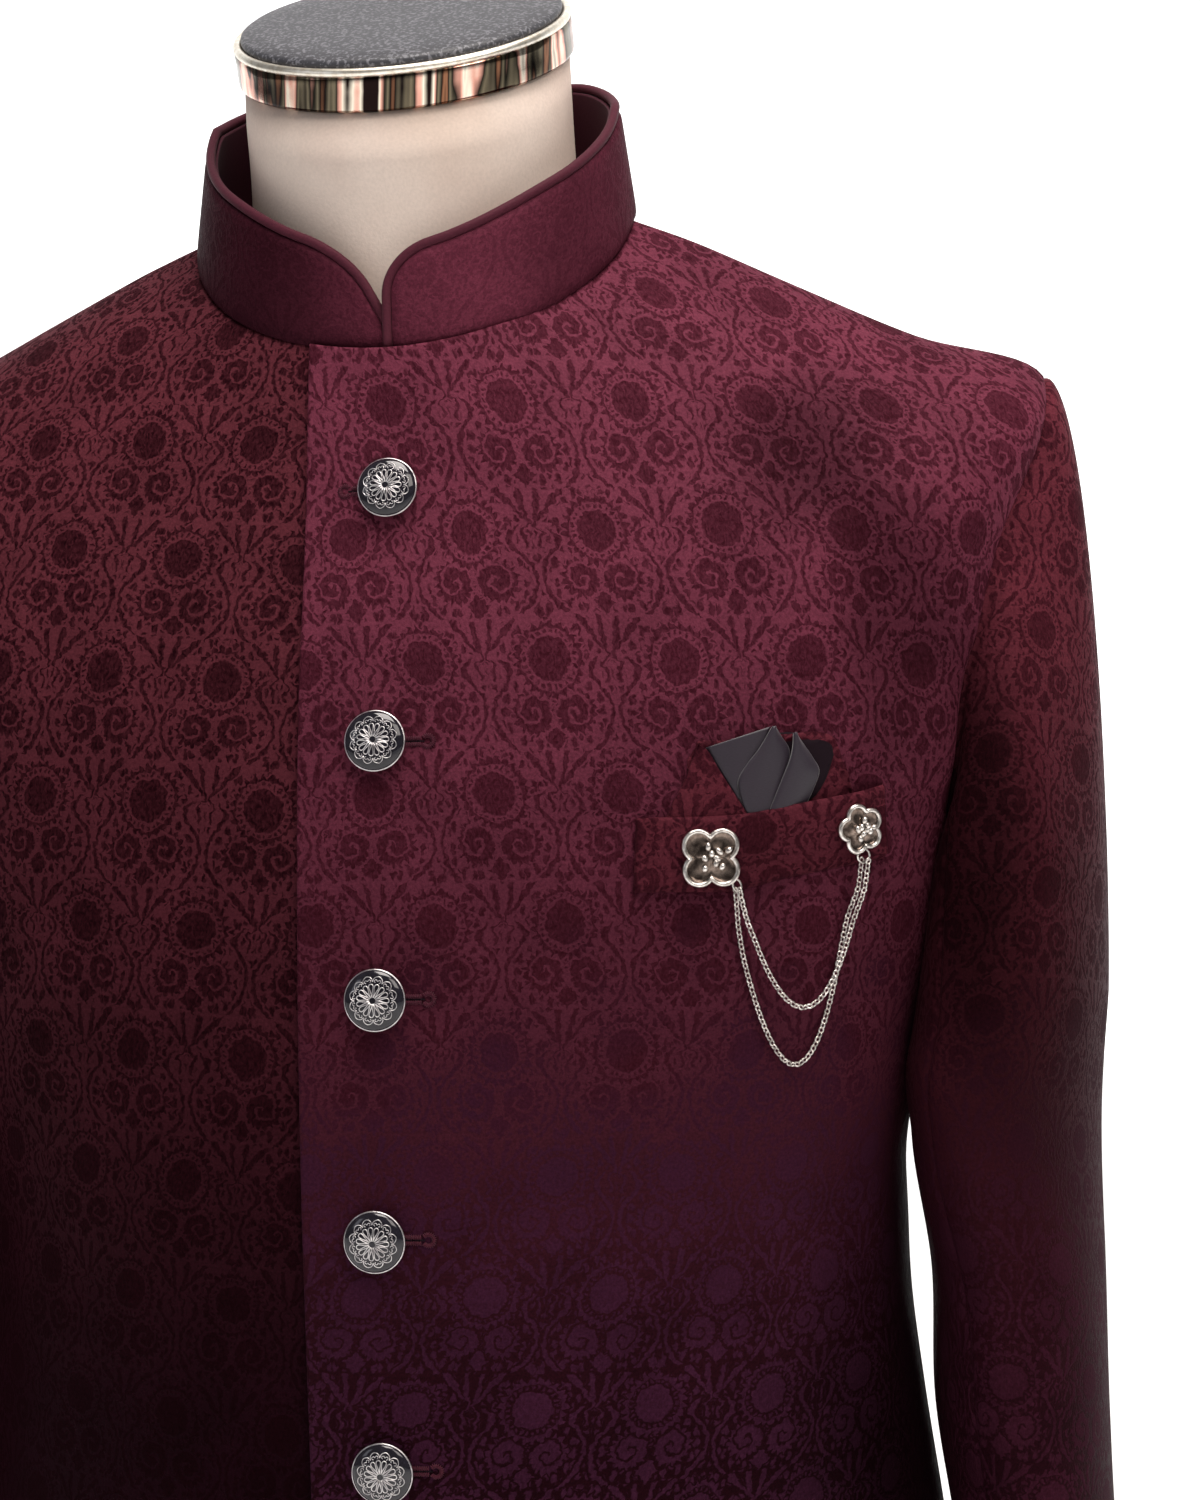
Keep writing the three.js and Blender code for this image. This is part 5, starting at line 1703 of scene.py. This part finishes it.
def cap_frame():
    lean = math.radians(NECK_CAP["tilt"])
    middle = np.array([0, NECK_CAP["y"], NECK_CAP["z"]])
    back = np.array([0, math.cos(lean), math.sin(lean)])
    return middle, np.array([1.0, 0, 0]), back, np.array([0, -math.sin(lean), math.cos(lean)])


def cap_ring(radius, height, count):
    middle, across, back, out = cap_frame()
    turns = 2 * math.pi * np.arange(count) / count
    ring = np.outer(radius * np.sin(turns), across) - np.outer(radius * np.cos(turns), back)
    return middle + ring + out * height


def neck_cap(band_metal, lip_metal, top_plastic):
    r, h = NECK_CAP["radius"], NECK_CAP["band"]
    frame = cap_frame()
    band = [
        [r - 1.6, 0], [r - 0.7, 0.25], [r - 0.1, 1.0], [r, 2.0], [r, h * 0.35],
        [r - 0.15, h * 0.5], [r, h * 0.65], [r, h - 3.4], [r - 0.5, h - 2.9],
        [r - 1.4, h - 2.7],
    ]
    sheet = turned("neck_cap_band_sheet", frame, band, 160)
    hard_piece(sheet, band_metal, "chrome_band", "neck_cap_band")
    bead = [[r - 2.4, h - 3.4]]
    for turn in np.radians(np.linspace(-80, 200, 15)):
        bead.append([r - 1.6 + 1.75 * math.cos(turn), h - 1.75 + 1.75 * math.sin(turn)])
    bead.append([r - 3.2, h - 1.6])
    hard_piece(turned("neck_cap_lip", frame, bead, 160), lip_metal, "chrome_band")
    top = [
        [r - 3.2, h - 1.0], [r - 3.0, h + 0.6], [r - 3.4, h + 1.7], [r - 4.6, h + 2.4],
        [r * 0.8, h + 3.0], [r * 0.6, h + 3.5], [r * 0.35, h + 3.6], [r * 0.1, h + 3.6],
    ]
    disc = turned("neck_cap_top_disc", frame, top, 120)
    hard_piece(disc, top_plastic, "dark_cap", "neck_cap_top")


# How each piece was cut from the cloth: the column of points that lies along the grain, the
# grain's turn, where its marked point lies in the weave, and how far pressing has eased the
# middle of its length sideways and upward (mm)
GRAIN = {
    "front_left": {
        "column": 8, "turn": 0, "spot": (0, -193.4), "ease": (-15.5, 7.5), "about": (45, 173)
    },
    "front_right": {"column": -9, "turn": 5.8, "spot": (83.7, -220.9)},
    "back_left": {"column": -3, "turn": 0, "spot": (12, 0)},
    "back_right": {"column": 2, "turn": 0, "spot": (-12, 0)},
    "sleeve_top_left": {"turn": 8.1, "spot": (68.8, -66.8)},
    "sleeve_top_right": {"turn": -8.1, "spot": (-68.8, -66.8)},
    "sleeve_under_left": {"turn": 0, "spot": (0, 0)},
    "sleeve_under_right": {"turn": 0, "spot": (0, 0)},
}


def row_near(levels, level):
    return int(np.argmin(np.abs(np.asarray(levels) - level)))


def dress_body(silks, lining):
    for name, grid in jacket_panels().items():
        obj = grid_object(name + "_cloth", grid)
        unwrap(obj)
        wide = grid.shape[1]
        column = GRAIN[name]["column"] % wide
        low, high = row_near(LEVELS, 2) * wide + column, row_near(LEVELS, 8) * wide + column
        lay_grain(obj, low, high, GRAIN[name])
        cloth_piece(
            obj, PANEL_THICKNESS, silks[name], lining, "brocade", "hung", "dress_form_body",
            name,
        )


def dress_sleeves(silk, lining):
    for side, mirror in (("left", 1), ("right", -1)):
        for part, first, last, count in SLEEVE_PARTS:
            grid = sleeve_grid(first, last, count, mirror)
            node = f"sleeve_{part}_{side}"
            obj = grid_object(node + "_cloth", grid)
            unwrap(obj)
            wide = grid.shape[1]
            middle = wide // 2
            low, high = 6 * wide + middle, (len(grid) - 60) * wide + middle
            lay_grain(obj, low, high, GRAIN[node])
            cloth_piece(
                obj, SLEEVE_THICKNESS, silk, lining, "brocade", "hung", "dress_form_body", node
            )


def dress_collar(silk, lining, piping):
    outer, inner, flat = collar_grids()
    length = (2 * NECK_HALF + UNDER_REACH) / 1000
    for name, grid, thickness, outside in (
        ("collar_outer", outer, COLLAR_THICKNESS, silk),
        ("collar_inner", inner, COLLAR_LINING_THICKNESS, lining),
    ):
        obj = grid_object(name + "_cloth", grid)
        flat_cloth(obj, flat)
        cloth_piece(
            obj, thickness, outside, lining, "brocade", "stretched", "dress_form_body", name,
            length=length,
        )
    roll = mesh_object("collar_piping_roll", *tube_mesh(piping_path(), PIPING_RADIUS, 12))
    hard_piece(roll, piping, "dark_piping", "collar_piping")


def build():
    light_studio()
    make_camera()
    flower = woven_flower()
    # lit and shaded copies of one brocade: the chest's copy is the lit one, the side's and the
    # sleeve's are painted darker as shade, and the collar's is painted darker on its shaded
    # side
    chest = brocade(
        "maroon_brocade", flower, "#642d3d", "#340f19", "#1a060c", "#351729", 0.95,
        painted_shades=CHEST_PAINTED_SHADE,
    )
    # painted shade: a darker shaded copy for the front beneath, turned from the light
    side = brocade(
        "maroon_brocade_shaded_side", flower, "#52242c", "#1d050b", "#15040a", "#0e0308", 1.0, 0.2
    )
    # painted shade: a darker shaded copy for the sleeves and the pocket
    arm = brocade(
        "maroon_brocade_shaded_sleeve", flower, "#5b2630", "#2c0c15", "#1e080f", "#331421", 0.9,
        painted_shades=SLEEVE_PAINTED_SHADE,
    )
    neck = brocade(
        "maroon_brocade_collar", flower, "#5c2837", "#441a27", "#5c2837", "#441a27", 0.5, 0.3,
        painted_shades=COLLAR_PAINTED_SHADE,
    )
    lining = cloth_of("lining_satin", "#2a1219", "#3a1a24", 0.5, 0.8, 0.05)
    thread = cloth_of("silk_thread", "#3a141f", "#4d2230", 0.55, 0.5, 0.1)
    piping = cloth_of("piping_satin", "#3c1823", "#542532", 0.6, 0.9, 0.12)
    # near-black cloth used as painted shadow in the pocket square's hollow and the buttonhole
    # slits
    dark = cloth_of("shadowed_lining", "#120a10", "#1e1219", 0.8, 0.9, 0.05)
    satin = satin_of("grey_satin")
    silver = silver_of("bright_silver", "#efe9e3", "#b3aca6", 0.3)
    smoky = silver_of("smoked_silver", "#8a7a70", "#4a3f3a", 0.26)
    wire = silver_of("silver_wire", "#e4e0e0", "#b5b0b2", 0.34)
    silks = {name: chest for name in ("front_left", "back_left", "back_right")}
    silks["front_right"] = side
    dress_body(silks, lining)
    dress_sleeves(arm, lining)
    inside = cloth_of("collar_lining", "#35131d", "#45202b", 0.6, 0.9, 0.08)
    dress_collar(neck, inside, piping)
    pocket(arm, satin, dark)
    buttons(black_enamel(), wire)
    buttonholes(thread, dark)
    large = front_frame(LARGE_BROOCH["x"], LARGE_BROOCH["z"])
    small = front_frame(SMALL_BROOCH["x"], SMALL_BROOCH["z"])
    brooch("brooch_large", large, lobes(4, 6.3, 5.3, math.pi / 4), silver, smoky, 3)
    brooch("brooch_small", small, lobes(5, 5.0, 3.8, 1.9), silver, smoky, 8)
    chains(silver)
    chain_rings(silver)
    dress_form(form_cover())
    lip = silver_of("chromed_lip", "#fdf7ea", "#e9dfcd", 0.35)
    neck_cap(mirror_band(), lip, speckled_top())


build()
